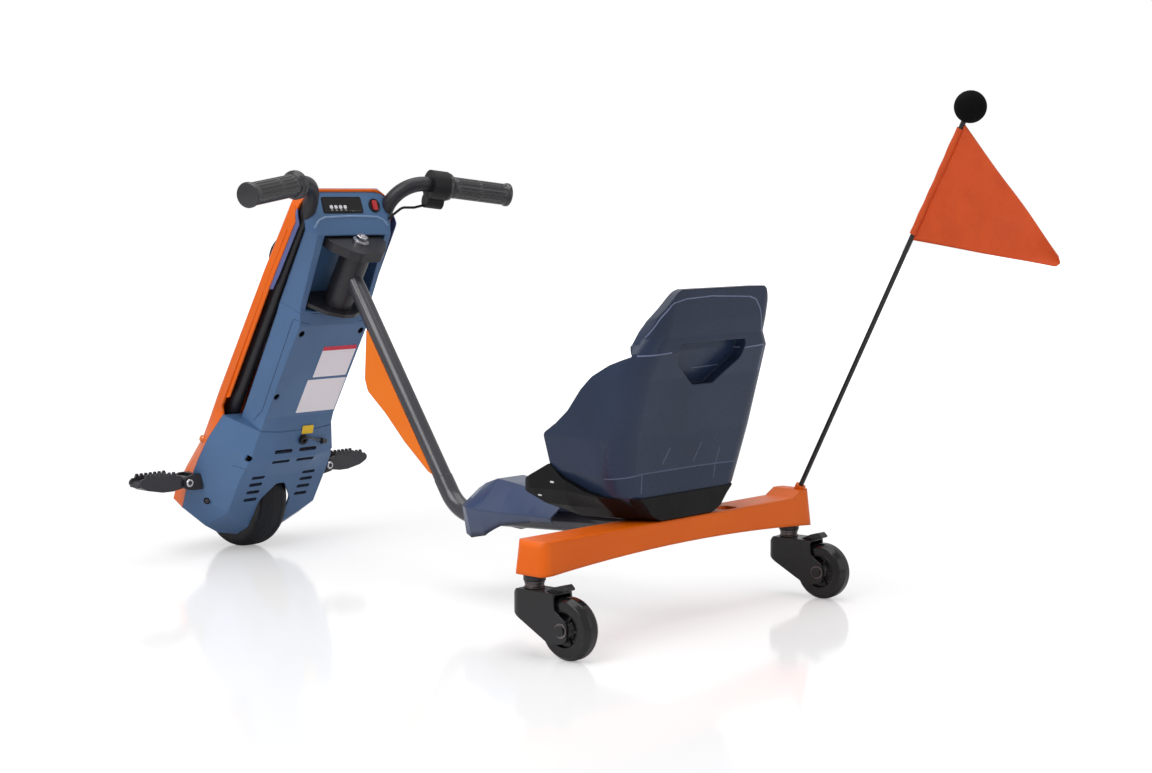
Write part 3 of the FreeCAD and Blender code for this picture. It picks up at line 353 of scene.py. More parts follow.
def wovenCloth(name, colour, shade):
    # plain weave: two crossed waves multiplied, on the sheet's own map, with a soft sheen
    mat, tree, shader, coord = finishBase(name)
    uv = coord.outputs["UV"]
    waves = []
    for direction in ("X", "Y"):
        wave = tree.nodes.new("ShaderNodeTexWave")
        wave.bands_direction = direction
        for socket, number in (("Scale", 90.0), ("Distortion", 0.6), ("Detail", 1.0)):
            wave.inputs[socket].default_value = number
        link(tree, uv, wave.inputs["Vector"])
        waves.append(wave.outputs["Fac"])
    drift = spread(tree, noise(tree, uv, 5.0), 0.3, 0.7, 0.0, 1.0)
    link(tree, blendColour(tree, drift, tint(*shade), tint(*colour)), shader.inputs["Base Color"])
    link(tree, spread(tree, noise(tree, uv, 30.0), 0.3, 0.7, 0.62, 0.76), shader.inputs["Roughness"])
    shader.inputs["Sheen Weight"].default_value = 0.12
    shader.inputs["Sheen Roughness"].default_value = 0.4
    link(tree, bump(tree, combine(tree, "MULTIPLY", *waves), 0.10), shader.inputs["Normal"])
    finishes[name] = mat


wovenCloth("pennantCloth", (214, 78, 10), (202, 70, 8))
print("stage: finishes")


def dress(finish, *names):
    # the finish on each carried-over node
    for name in names:
        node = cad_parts[name]
        if not node.material_slots:
            node.data.materials.append(finishes[finish])
        for materialSlot in node.material_slots:
            materialSlot.material = finishes[finish]


dress("orangePlastic", "flag_socket", "front_shell_lower", "front_shell_upper")
dress("beamOrange", "beam")
# the fin takes the orange painted lighter for the light on it
dress("finOrangeLit", "fin")
dress("columnBlue", "rear_cover", "lower_cover", "console")
dress("noseBlue", "nose_fairing")
dress("seatBlue", "seat_shell")
dress("blackPlastic", "spine_cover", "throttle_housing", "charge_port", "throttle_cable")
dress("tubBlack", "seat_tub")
dress("casterBlack", "caster_fork_left", "caster_fork_right")
dress("tubeSteel", "down_tube", "frame_tube")
dress("blackPowder", "head_tube", "bar_left", "bar_right", "fork", "bracket_upper", "bracket_lower",
      "peg_bracket_left", "peg_bracket_right", "caster_collar_left", "caster_collar_right")
dress("brightSteel", "kingpin")
dress("gripRubber", "grip_left", "grip_right")
dress("tyreRubber", "tyre")
dress("casterTread", "caster_wheel_left", "caster_wheel_right")
dress("hubMetal", "hub")
dress("pegMetal", "peg_left", "peg_right")
dress("fibrePole", "flag_pole")
dress("foamBall", "flag_ball")
dress("darkGlass", "display")
dress("redSwitch", "rocker_switch")
dress("lensClear", "headlight")
dress("amberLens", "side_light_left", "side_light_right")
dress("batteryCase", "battery")
dress("pennantCloth", "pennant")


# Pennant: one sheet hung from a sleeve on the pole
pennantSettings = {"top": (-266.0, 632.0), "foot": (-190.0, 485.0), "tip": (-415.0, 453.0), "y": -250.0,
                   "tipRound": 8.0, "wave": 3.2, "thick": 0.9, "rows": 52, "tipRows": 14, "cols": 40}
sleeveSettings = {"poleFoot": (-18.0, 146.0), "poleLean": 26.93, "low": 388.5, "high": 537.5, "radius": 4.6,
                  "rows": 40, "around": 28, "clothLength": 165.0}


def pennantEnds():
    # middle of the pole edge, unit vectors out and up, half edge, the tip's half angle, its circle's centre
    p = pennantSettings
    top, foot, tip = (np.array(p[k]) for k in ("top", "foot", "tip"))
    middle = (top + foot) / 2
    reach, edge = np.linalg.norm(tip - middle), np.linalg.norm(top - foot)
    lean = math.atan(edge / 2 / reach)
    centre = reach - p["tipRound"] / math.sin(lean)
    return middle, (tip - middle) / reach, (top - foot) / edge, edge / 2, lean, centre


def pennantPoint(u, along):
    # middle line plus u times a half width that falls straight and then as the tip's circle; two sines that
    # grow away from the pole carry the cloth out of its plane
    p = pennantSettings
    middle, out, rise, half, lean, centre = pennantEnds()
    rounded = np.sqrt(np.clip(p["tipRound"] ** 2 - (along - centre) ** 2, 0.04, None))
    width = np.where(along < centre + p["tipRound"] * math.sin(lean), half - math.tan(lean) * along, rounded)
    spot = middle + along[..., None] * out + (u * width)[..., None] * rise
    v = along / centre
    ripple = p["wave"] * v * np.sin(5.2 * v + 1.1 * u) + 1.4 * v * np.sin(11.0 * v - 2.0 * u)
    return place(spot[..., 0], p["y"] + ripple, spot[..., 1])


def mapCloth(piece, flatMap):
    # each corner of the mesh takes the flat place of its vertex
    layer = piece.data.uv_layers.new(name="cloth")
    corner = np.zeros(len(piece.data.loops), dtype=np.int32)
    piece.data.loops.foreach_get("vertex_index", corner)
    layer.data.foreach_set("uv", flatMap[corner].astype(np.float32).ravel())


def buildSheet():
    # rows of pennantPoint along the middle line, closer together round the tip
    p = pennantSettings
    lean, centre = pennantEnds()[-2:]
    straight = np.linspace(0, centre + p["tipRound"] * math.sin(lean), p["rows"], endpoint=False)
    curve = centre + p["tipRound"] * np.sin(np.linspace(lean, math.pi / 2, p["tipRows"]))
    u, v = np.meshgrid(np.linspace(-1, 1, p["cols"]), np.concatenate([straight, curve]), indexing="xy")
    sheet = grid(pennantPoint(u, v), wrapV=False, caps=False)
    cloth = putPiece("pennantSheet", [sheet], "frame", "pennantCloth")
    across = u * 0.5 * (1 - v / v.max()) + 0.5
    mapCloth(cloth, np.stack([across, v / sleeveSettings["clothLength"]], axis=-1).reshape(-1, 2))
    wall = cloth.modifiers.new("cloth", "SOLIDIFY")
    wall.thickness, wall.offset = p["thick"] / 1000, 0.0
    return cloth


def buildSleeve():
    # slightly oval tube along the pole, puckered by one sine along it and one of three waves round it
    p = sleeveSettings
    lean = math.radians(p["poleLean"])
    direction = unit(np.array([-math.sin(lean), 0, math.cos(lean)]))
    along = np.linspace(p["low"], p["high"], p["rows"])
    path = place(p["poleFoot"][0], pennantSettings["y"], p["poleFoot"][1]) + along[:, None] / 1000 * direction
    angle = fullTurn(p["around"])
    pucker = 1 + 0.05 * np.sin(along[:, None] / 5.0) + 0.04 * np.sin(3 * angle[None] + along[:, None] / 17)
    side = np.array([0.0, 1.0, 0.0])
    ring = ringOf(angle, side * 0.92, np.cross(direction, side) * 1.08)
    points = path[:, None] + (p["radius"] / 1000 * pucker)[..., None] * ring[None]
    sleeve = putPiece("pennantSleeve", [grid(points)], "frame", "pennantCloth")
    flatMap = np.stack(np.broadcast_arrays(angle[None] / 9, along[:, None] / p["clothLength"]), axis=-1)
    mapCloth(sleeve, np.vstack([flatMap.reshape(-1, 2), [[0.3, 2.3], [0.3, 3.2]]]))
    return sleeve


pennant = buildSheet()
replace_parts(pennant, "pennant")
buildSleeve()
print("stage: pennant")


# Grips: rubber with long flutes, a collar at the inner end and a flared cap at the outer end
gripSettings = {"inner": (46.0, 75.0, 624.0), "outer": (-12.0, 246.0, 633.0), "over": 4.0, "radius": 16.0,
                "fluteDepth": 1.2, "flutes": 18, "fluteStart": 18.0, "fluteGap": 52.0, "capRadius": 17.6,
                "capLength": 6.0, "collarRadius": 20.5, "collarEnd": 6.5, "ridges": (8.0, 16.0), "rows": 90,
                "around": 216}


def softStep(x, at, soft):
    # logistic step from 0 to 1 about a place, wider with soft
    return 1 / (1 + np.exp(-np.clip((x - at) / soft, -40, 40)))


def buildGrip(name, side, length):
    # radius(h, a) = sleeve + collar and cap steps + ridges(h) - window(h) * flutes(a), then a rounded lip
    g = gripSettings
    (n0, y0, s0), (n1, y1, s1) = g["inner"], g["outer"]
    end = onColumn(n1, side * y1, s1)
    along = unit(end - onColumn(n0, side * y0, s0))
    h = np.concatenate([np.linspace(0, length - 1.5, g["rows"]), length - np.array([0.6, 0.2, 0.0])])
    angle = fullTurn(g["around"])
    cap = length - g["capLength"]
    sleeve = g["radius"] + (g["collarRadius"] - g["radius"]) * (1 - softStep(h, g["collarEnd"], 0.5))
    sleeve = sleeve + (g["capRadius"] - g["radius"]) * softStep(h, cap, 0.35)
    window = softStep(h, g["fluteStart"], 0.8) * (1 - softStep(h, cap - 6, 0.8))
    window = window * (1 - 0.95 * np.exp(-((h - g["fluteGap"]) / 2.6) ** 2))
    flute = np.clip(np.cos(g["flutes"] * angle), 0.0, 1) ** 0.6
    low, high = g["ridges"]
    ridges = 0.35 * np.sin(h * 2.6) * softStep(h, low, 0.5) * (1 - softStep(h, high, 0.5))
    radius = sleeve[:, None] - g["fluteDepth"] * window[:, None] * flute[None] + ridges[:, None]
    radius[-3:] = radius[-4] - np.array([0.5, 1.1, 1.9])[:, None]
    across = unit(np.cross(along, [0.0, 0.0, 1.0]))
    ring = ringOf(angle, across, np.cross(along, across))
    seat = end - along * length / 1000
    stretch = (length + g["over"]) / length
    points = seat + (h[:, None, None] / 1000 * stretch) * along + radius[..., None] / 1000 * ring[None]
    return putPiece(name, [grid(points)], "steering", "gripRubber", sharp=50)


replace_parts(buildGrip("gripSleeveLeft", 1, 118.0), "grip_left")
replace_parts(buildGrip("gripSleeveRight", -1, 102.0), "grip_right")
print("stage: grips")


# Front tyre: a rounded smooth band with two fine running lines and short side sipes
# profile: (y, radius) corners of one half, from the middle of the tread to the rim
tyreSettings = {"n": 41.7, "s": 68.3, "sipeDepth": 0.35, "sipes": 40, "around": 320,
                "profile": ((2, 80), (5, 79.95), (8.1, 79.85), (8.5, 79.3), (8.9, 79.3), (9.3, 79.8),
                            (11, 79.7), (14.5, 79.1), (18, 77.8), (21.5, 75.6), (23.6, 72), (24, 68),
                            (23, 63), (20.5, 56), (18, 50))}


def buildTyre():
    # the profile and its mirror image turned about the axle, less a wave of sipes over the shoulders
    t = tyreSettings
    half = np.array(t["profile"], float)
    line = np.vstack([half[::-1] * [-1, 1], half])
    angle = fullTurn(t["around"])
    wide = np.abs(line[:, 0])
    shoulder = np.clip((wide - 10) / 3, 0, 1) * np.clip((24.2 - wide) / 3, 0, 1)
    wave = np.clip(np.sin(t["sipes"] * angle) * 3 - 2, 0, 1)
    radius = line[:, 1:] - t["sipeDepth"] * shoulder[:, None] * wave[None]
    centre = onColumn(t["n"], 0, t["s"])
    ring = ringOf(angle, columnOut, columnUp)
    points = centre + line[:, :1, None] / 1000 * np.array([0, 1.0, 0]) + radius[..., None] / 1000 * ring[None]
    verts, faces = grid(np.concatenate([points, points[:1]]), caps=False)
    return putPiece("tyreTread", [outward(verts, faces)], "front_wheel", "tyreRubber", sharp=40)


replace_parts(buildTyre(), "tyre")
print("stage: tyre")


# Screws in the covers at (y, s): a cup behind each hole, painted dark as the shade inside the hole, with a
# screw at its foot, and one flush screw in a ring painted dark as the shade round it
coverScrews = {"cupRadius": 4.95, "cupWall": 0.35, "depth": 7.0, "head": 3.6, "aside": 6.5,
               "spots": ((80, 187), (57, 399), (60, 289)), "flush": (103, 92), "lowerTop": 229}


def screwCup(mouth):
    # cup let into the cover behind a hole: inner wall, rim, outer wall
    c = coverScrews
    outer, inner, foot = c["cupRadius"], c["cupRadius"] - c["cupWall"], c["depth"] + 1.5
    return turned(mouth, columnOut, [(0.3, c["depth"]), (inner, c["depth"]), (inner, 0.2), (inner + 0.1, 0),
                                     (outer, 0), (outer, foot), (0.3, foot)], 28)


def buildCoverScrews():
    # the face is found beside each hole, because the hole itself lets the line through
    c = coverScrews
    cups, heads = [], []
    for y, s in c["spots"]:
        for side in (1, -1):
            node = "lower_cover" if s < c["lowerTop"] else "rear_cover"
            edge, _ = hitNode(node, onColumn(-90, side * (y + c["aside"]), s), columnOut)
            if edge is None:
                continue
            mouth = np.array(edge) + columnOut * 0.0004 + np.array([0, -side * c["aside"] / 1000, 0])
            cups.append(screwCup(mouth))
            foot = mouth + columnOut * (c["depth"] / 1000)
            heads.append(turned(foot, -columnOut, [(c["head"], 0), (c["head"], 1.0), (c["head"] * 0.8, 1.9),
                                                   (c["head"] * 0.4, 2.3), (1.1, 2.3), (0.9, 1.2)], 24))
    y, s = c["flush"]
    for side in (1, -1):
        spot, normal = hitNode("lower_cover", onColumn(-90, side * y, s), columnOut)
        if spot is None:
            continue
        out = np.array(tuple(normal))
        out = out if out @ columnOut < 0 else -out
        rim = [(0.3, -0.6), (5.4, -0.6), (5.4, 0.15), (4.6, 0.45), (4.3, 0.1), (0.3, 0.1)]
        cups.append(turned(spot, out, rim, 28))
        heads.append(turned(spot, out, [(3.4, 0.0), (3.4, 0.3), (2.4, 0.75), (1.1, 0.75), (0.9, 0.3)], 24))
    # the cups and the ring round the flush screw are painted dark as shade
    putPiece("coverScrewCups", cups, "steering", "paintedGapShade")
    putPiece("coverScrewHeads", heads, "steering", "pegMetal")


buildCoverScrews()


# Nuts at both ends of the kingpin
headSettings = {"nutTop": 550.3, "nutFoot": 433.7, "across": 15.0, "height": 6.0, "washer": 1.2, "pin": 3.6}


def buildHeadNuts():
    # at each end a washer, a nut over it and the pin's end through the nut
    h = headSettings
    parts = []
    for seat, way, reach in ((h["nutTop"], 1, 7.2), (h["nutFoot"], -1, 7.6)):
        axis = columnUp * way
        over = onColumn(0, 0, seat + way * h["washer"])
        parts += [washer(onColumn(0, 0, seat), axis, 10.0, h["washer"]),
                  nut(over, axis, h["across"], h["height"]),
                  turned(over, axis, [(h["pin"], 0), (h["pin"], reach), (h["pin"] - 0.8, reach + 0.8)], 24)]
    putPiece("headNuts", parts, "steering", "brightSteel")


buildHeadNuts()

# Foot pegs: a cage whose two long edges are toothed, with cross bars in the tray between them
pegSettings = {"x": 836.0, "y": 137.0, "z": 115.0, "half": 14.0, "tip": 220.0, "root": 9.5, "edge": 3.6,
               "teeth": 7, "toothTop": 133.2, "toothFoot": 127.4, "tray": 123.0, "bars": 5, "barFirst": 26.0,
               "barStep": 12.0}


def pegOutline(side, toothed):
    # (y, z) loop of one long edge: root, toothed or plain top, rounded tip, tapered underside
    p = pegSettings
    first, last = p["y"] + 19, p["tip"] - 7
    high = p["toothFoot"] if toothed else p["tray"]
    if toothed:
        step = (last - first) / p["teeth"]
        at = first + step * np.arange(p["teeth"])[:, None] + step * np.array([0.0, 0.30, 0.62, 0.92])
        rise = np.broadcast_to([high, p["toothTop"], p["toothTop"], high], at.shape)
        top = np.stack([at.ravel(), rise.ravel()], axis=-1)
    else:
        top = [(first, high), (last, high)]
    head = [(p["y"] + 8, p["z"] - 8), (p["y"] + 8, min(p["z"] + 8.5, high)), (p["y"] + 14, high)]
    tail = [(p["tip"] - 3, high), (p["tip"] + 1.4, high - 4), (p["tip"] + 2, high - 8), (p["tip"] - 1, 115.5),
            (p["tip"] - 13, 109.5), (p["y"] + 44, 104.4), (p["y"] + 26, 104.2)]
    loop = np.vstack([head, top, tail])
    return np.stack([side * loop[:, 0], loop[:, 1]], axis=-1)


def raised(loop, x0, x1):
    # a (y, z) loop carried from x0 to x1, its rims drawn in a little, each end closed by one flat face
    middle = loop.mean(axis=0)
    rows = [(x0, 0.985), (x0 + 0.4, 1.0), (x1 - 0.4, 1.0), (x1, 0.985)]
    points = np.stack([place(x, *(middle + (loop - middle) * k).T) for x, k in rows])
    verts, faces = grid(points, caps=False)
    last = len(verts) - 1
    faces += [list(range(len(loop))), list(range(last, last - len(loop), -1))]
    return outward(verts, faces)


def buildPeg(side, word):
    # two toothed edges, the tray between them with its cross bars, and the turned root on the fold's axle
    p = pegSettings
    low, high, edge = p["x"] - p["half"], p["x"] + p["half"], p["edge"]
    toothed = pegOutline(side, True)
    parts = [raised(toothed, low, low + edge), raised(toothed, high - edge, high),
             raised(pegOutline(side, False), low + edge - 0.2, high - edge + 0.2)]
    bar = roundRect(2 * p["half"] - 6, 3.0, 1.0, 3)
    for k in range(p["bars"]):
        spot = place(p["x"], side * (p["y"] + p["barFirst"] + p["barStep"] * k), p["tray"])
        parts.append(softPlate(bar, spot, [1, 0, 0], [0, 1.0, 0], -0.5, 1.4, 0.4))
    wide, r = 2 * p["half"] - 0.3, p["root"]
    line = [(4.2, 0), (r - 0.6, 0), (r, 0.6), (r, wide - 0.6), (r - 0.6, wide), (4.2, wide)]
    parts.append(turned(place(low + 0.15, side * p["y"], p["z"]), [1, 0, 0], line, 40))
    return putPiece("pegCage" + word, parts, "foot_peg_" + word.lower(), "pegMetal", sharp=30)


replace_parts(buildPeg(1, "Left"), "peg_left")
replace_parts(buildPeg(-1, "Right"), "peg_right")

pegBolts = {"reach": 18.4, "radius": 6.2}


def buildPegBolts():
    # one socket head on the front and one on the back of each peg's bracket
    p = pegSettings
    r = pegBolts["radius"]
    parts = []
    for side in (1, -1):
        for face in (-1.0, 1.0):
            seat = place(p["x"] + face * pegBolts["reach"], side * p["y"], p["z"])
            head = [(r, 0), (r, 2.6), (r - 0.8, 3.6), (3.4, 3.6), (3.0, 2.0), (0.4, 2.0)]
            parts.append(turned(seat, np.array([face, 0, 0]), head, 32))
    putPiece("pegBoltHeads", parts, "steering", "brightSteel")


buildPegBolts()

casterSettings = {"trail": 55.0, "radius": 37.5, "halfTrack": 252.0, "angles": {1: 2.1, -1: 4.5}, "spokes": 6,
                  "spokeAt": 15.1, "boltFace": 17.2, "stemSeat": 80.0}


def casterPlace(side, x, y, z):
    # caster pieces trail along -X before their swivel angle is applied about the stem
    angle = math.radians(casterSettings["angles"][side])
    x, y, z = np.broadcast_arrays(np.asarray(x, float), np.asarray(y, float), np.asarray(z, float))
    return place(x * math.cos(angle) - y * math.sin(angle),
                 x * math.sin(angle) + y * math.cos(angle) + side * casterSettings["halfTrack"], z)


def buildCasterDetails(side, word):
    # on both faces of the wheel a rim ring, a hub cap and spokes; on the fork two axle washers and the stem
    c = casterSettings
    centre = casterPlace(side, -c["trail"], 0, c["radius"])
    stem = casterPlace(side, 0, 0, 0)
    across = unit(casterPlace(side, 0, 1, 0) - stem)
    spoke = roundRect(11.5, 3.0, 1.0, 4)
    rim = [(20.4, 7.0), (20.4, 12.0), (21.2, 12.7), (22.6, 12.9), (23.6, 12.4), (23.8, 11.0), (23.8, 7.0)]
    cap = [(9.9, 7.0), (9.9, 12.6), (9.2, 13.2), (6.4, 13.4), (4.6, 13.3), (4.4, 7.0)]
    ring = [(6.0, 0), (8.8, 0), (9.0, 0.3), (9.0, 0.9), (8.6, 1.1), (6.0, 1.1)]
    cores, rings, bolts = [], [], []
    for face in (1, -1):
        axis = across * face
        rings.append(turned(centre, axis, rim, 48))
        cores.append(turned(centre, axis, cap, 32))
        for angle in fullTurn(c["spokes"]):
            out = unit(casterPlace(side, math.cos(angle), 0, math.sin(angle)) - stem)
            spot = centre + out * c["spokeAt"] / 1000
            cores.append(softPlate(spoke, spot, out, np.cross(axis, out), 7.0, 11.6, 0.5))
        bolts.append(turned(centre + axis * c["boltFace"] / 1000, axis, ring, 36))
    stemLine = [(12.6, 0), (12.6, 1.4), (11.6, 2.2), (11.6, 5.6), (12.4, 6.2), (12.4, 8.2), (10.6, 8.4)]
    bolts.append(turned(casterPlace(side, 0, 0, c["stemSeat"]), [0, 0, 1], stemLine, 40))
    wheel = "caster_wheel_body_" + word.lower()
    putPiece("casterCore" + word, cores, wheel, "casterCore")
    putPiece("casterRim" + word, rings, wheel, "casterTread")
    putPiece("casterBolts" + word, bolts, "caster_" + word.lower(), "wornSteel")


buildCasterDetails(1, "Left")
buildCasterDetails(-1, "Right")
print("stage: fasteners and casters")


# Blank labels, sticker, port cap and thin seams on the rear of the column
def curveThrough(points, count):
    # Catmull-Rom: p + t*m + t^2*(3d - 2m - k) + t^3*(m + k - 2d), with slopes m and k from the neighbours
    points = np.asarray(points, float)
    slope = np.gradient(points, axis=0)
    at = np.linspace(0, len(points) - 1 - 1e-9, count)
    i = at.astype(int)
    t = (at - i)[:, None]
    p, d, m, k = points[i], points[i + 1] - points[i], slope[i], slope[i + 1]
    return p + t * m + t ** 2 * (3 * d - 2 * m - k) + t ** 3 * (m + k - 2 * d)


labelSettings = {"faceN": -10.0, "band": 7.0,
                 "papers": ((-28.7, 346.5, 65.0, 54.0), (-26.5, 285.5, 75.0, 59.0)),
                 "stickerFoot": (-20.9, 223.0), "stickerTop": (-17.0, 235.5), "stickerY": (-6.5, -28.0)}


def buildLabels():
    # blank papers, a red band on the upper one's top edge and the yellow sticker on the slope below
    c = labelSettings
    left = [0, 1.0, 0]
    face = c["faceN"]
    papers = [softPlate(roundRect(high, wide, 1.2), onColumn(face, y, s), columnUp, left, -0.1, 0.3, 0.05)
              for y, s, wide, high in c["papers"]]
    putPiece("labelPapers", papers, "steering", "labelPaper")
    y, s, wide, high = c["papers"][0]
    spot = onColumn(face, y, s + (high - c["band"]) / 2)
    band = softPlate(roundRect(c["band"], wide, 1.0), spot, columnUp, left, 0.1, 0.42, 0.05)
    putPiece("labelBand", [band], "steering", "labelRed")
    (n0, s0), (n1, s1) = c["stickerFoot"], c["stickerTop"]
    y0, y1 = c["stickerY"]
    middle = onColumn((n0 + n1) / 2, (y0 + y1) / 2, (s0 + s1) / 2)
    rise = unit(onColumn(n1, 0, s1) - onColumn(n0, 0, s0))
    outline = roundRect(math.hypot(n1 - n0, s1 - s0), abs(y1 - y0), 1.4)
    sticker = softPlate(outline, middle, rise, left, -0.2, 0.4, 0.1)
    putPiece("columnSticker", [sticker], "steering", "labelYellow")


buildLabels()

# rows of vents: y of their middle, length and the s of each, as in the part's source
ventSettings = {"rows": ((49, 22, (150, 137, 123, 109)), (23.5, 31, (199, 182))), "tall": 3.0, "rim": 0.95}


def buildVentSlotShade():
    # rounded rectangle round each slot, dropped onto the face, with a flat section swept along it, painted
    # dark as the slot's shade
    v = ventSettings
    shadeRings = []
    for y, length, heights in v["rows"]:
        line = roundRect(length + 0.6, v["tall"] + 1.0, 1.2, 5)
        for s in heights:
            for side in (1, -1):
                starts = onColumn(-90.0, side * y + line[:, 0], s + line[:, 1])
                path = drawOn("lower_cover", starts, columnOut, 0.05)
                if len(path) == len(line):
                    shadeRings.append(swept(path, ringSection(v["rim"], 8, 0.35), -columnOut, closed=True))
    putPiece("ventSlotShade", shadeRings, "steering", "paintedGapShade")


buildVentSlotShade()

capSettings = {"strap": ((-27.2, -11.0, 222.0), (-30.0, -18.0, 221.5), (-28.5, -29.0, 216.5),
                         (-27.6, -38.0, 214.0), (-27.0, -46.5, 211.5)),
               "spot": (-27.2, -46.0, 210.5), "radius": 4.8}


def buildPortCap():
    # flat strap through its points and a turned cap at its end
    c = capSettings
    strap = swept(onColumn(*curveThrough(c["strap"], 44).T), ringSection(1.7, 12, 0.5), -columnOut)
    r = c["radius"]
    line = [(r - 0.6, 0), (r, 0.6), (r, 2.2), (r - 0.6, 2.8), (3.2, 2.8), (3.2, 7.2), (3.6, 7.6), (3.6, 8.4),
            (2.6, 9.8), (1.0, 10)]
    cap = turned(onColumn(*c["spot"]), [0, -1.0, -0.08], line, 28)
    putPiece("portCap", [strap, cap], "steering", "gripRubber")


buildPortCap()

# each seam: the node it lies on, its radius and sink, and its (y, s) corners, dropped on from behind
seamSettings = {"visor": {"node": "console", "radius": 2.0, "sink": 0.7,
                          "line": ((73, 557), (70, 562), (64, 566.5), (52, 569.5), (0, 570.5), (-48, 569.5),
                                   (-60, 566), (-67, 560))},
                "rear": {"node": "rear_cover", "radius": 0.5, "sink": 0.3,
                         "line": ((47, 415), (70, 419), (70.5, 412), (69, 257), (72, 238))},
                "lower": {"node": "lower_cover", "radius": 0.5, "sink": 0.3, "line": ((92, 166), (81, 170))}}


def alongPolyline(points, count):
    # evenly spaced places on straight runs between the corners
    points = np.asarray(points, float)
    run = np.concatenate([[0], np.cumsum(np.linalg.norm(np.diff(points, axis=0), axis=1))])
    at = np.linspace(0, run[-1], count)
    return np.interp(at, run, points[:, 0]), np.interp(at, run, points[:, 1])


def beadOn(node, starts, direction, up, radius, sink, flat=1.0):
    # bead along the places where the starts meet the node
    return swept(drawOn(node, starts, direction, sink), ringSection(radius, 8, flat), up)


def columnSeam(key, sides):
    # the seam of that name on each side
    c = seamSettings[key]
    y, s = alongPolyline(c["line"], 60)
    return [beadOn(c["node"], onColumn(-90, side * y, s), columnOut, -columnOut, c["radius"], c["sink"])
            for side in sides]


# the visor's lip is painted light blue as its highlight
putPiece("visorLip", columnSeam("visor", (1,)), "steering", "lipHighlightBlue")
putPiece("coverSeams", columnSeam("rear", (1, -1)) + columnSeam("lower", (1, -1)), "steering", "seamBlue")

sideSeam = {"line": ((76, 459), (70, 455), (63.5, 449)), "radius": 0.8, "sink": 0.3}


def buildSideSeams():
    # (n, s) corners dropped onto each side of the orange shell from outside, as a pale bead that paints the
    # highlight along the seam
    c = sideSeam
    n, s = alongPolyline(c["line"], 30)
    parts = []
    for side in (1, -1):
        starts, out = onColumn(n, side * 150, s), np.array([0.0, side, 0.0])
        parts.append(beadOn("front_shell_lower", starts, -out, out, c["radius"], c["sink"]))
    putPiece("shellSeams", parts, "steering", "seamHighlightOrange")


buildSideSeams()


# Returns of the orange shells behind their side edges, and the blue liner's edge inside each
returnSettings = {"foot": 247.0, "top": 574.0, "split": 450.0, "edge": 63.0, "rear": 41.5, "thick": 2.0,
                  "liner": 34.5, "linerFoot": 440.0}


def returnStrip(side, foot, section):
    # (n, height over the shell's rear edge) corners carried along s, the rear ones drawn in at both ends
    c = returnSettings
    section = np.array(section)
    rows = []
    for s in np.linspace(foot, c["top"], 60):
        node = "front_shell_lower" if s < c["split"] else "front_shell_upper"
        spot, _ = hitNode(node, onColumn(c["edge"], side * 160, s), (0.0, -float(side), 0.0))
        if spot is None:
            continue
        close = min(1.0, 0.3 + (c["top"] - s) / 24, 0.3 + (s - foot) / 14)
        n = c["edge"] + (section[:, 0] - c["edge"]) * np.where(section[:, 0] < c["edge"], close, 1.0)
        rows.append(onColumn(n, side * (abs(spot[1]) * 1000 + section[:, 1]), s))
    return grid(np.array(rows))


def buildReturns():
    # an orange band behind each side edge, and the liner's edge inside the upper part of each
    c = returnSettings
    edge, rear, liner, thick = c["edge"], c["rear"], c["liner"], c["thick"]
    outer = [(edge + 1, -1.4), (edge - 0.6, 0.35), (rear, 1.2), (rear, 1.2 - thick), (edge + 1, -1.4 - thick)]
    inner = [(rear + 4, 0.4), (rear, 0), (liner, -0.4), (liner - 0.6, -1.2), (liner, -2), (rear + 4, -2)]
    putPiece("shellReturns", [returnStrip(side, c["foot"], outer) for side in (1, -1)], "steering",
             "orangePlastic")
    putPiece("linerEdges", [returnStrip(side, c["linerFoot"], inner) for side in (1, -1)], "steering",
             "linerBlue")


buildReturns()

# Bezel standing proud round the headlight
bezelSettings = {"n": 124.0, "s": 455.0, "radius": 34.9, "wall": 2.4, "depth": 17.0}


def buildBezel():
    # circle about the lamp's axis with a rounded rectangular section swept along it
    b = bezelSettings
    angle = fullTurn(72)
    path = onColumn(b["n"], b["radius"] * np.cos(angle), b["s"] + b["radius"] * np.sin(angle))
    ring = swept(path, roundRect(b["wall"], b["depth"], 1.1, 4), columnOut, closed=True)
    putPiece("lampBezel", [ring], "steering", "blackPlastic")


buildBezel()

# Display marks and bezels on the sloped panel
panelSettings = {"low": (33.0, 570.0), "high": (67.0, 600.0), "glass": 1.05,
                 "marks": (-36.5, -27.8, -19.0, -10.3), "markHeight": 15.0, "dashHeight": 10.4,
                 "line": (8.0, 9.2), "frame": (-14.5, 18.0), "switch": (47.0, 17.0)}


def panelSpot(u, v, w=0.0):
    # u to the rider's right, v up the panel from its lower edge, w out of it
    low, high = np.array(panelSettings["low"]), np.array(panelSettings["high"])
    up = unit(high - low)
    v, w = np.asarray(v, float)[..., None], np.asarray(w, float)[..., None]
    spot = low + up * v + np.array([-up[1], up[0]]) * w
    return onColumn(spot[..., 0], -np.asarray(u, float), spot[..., 1])


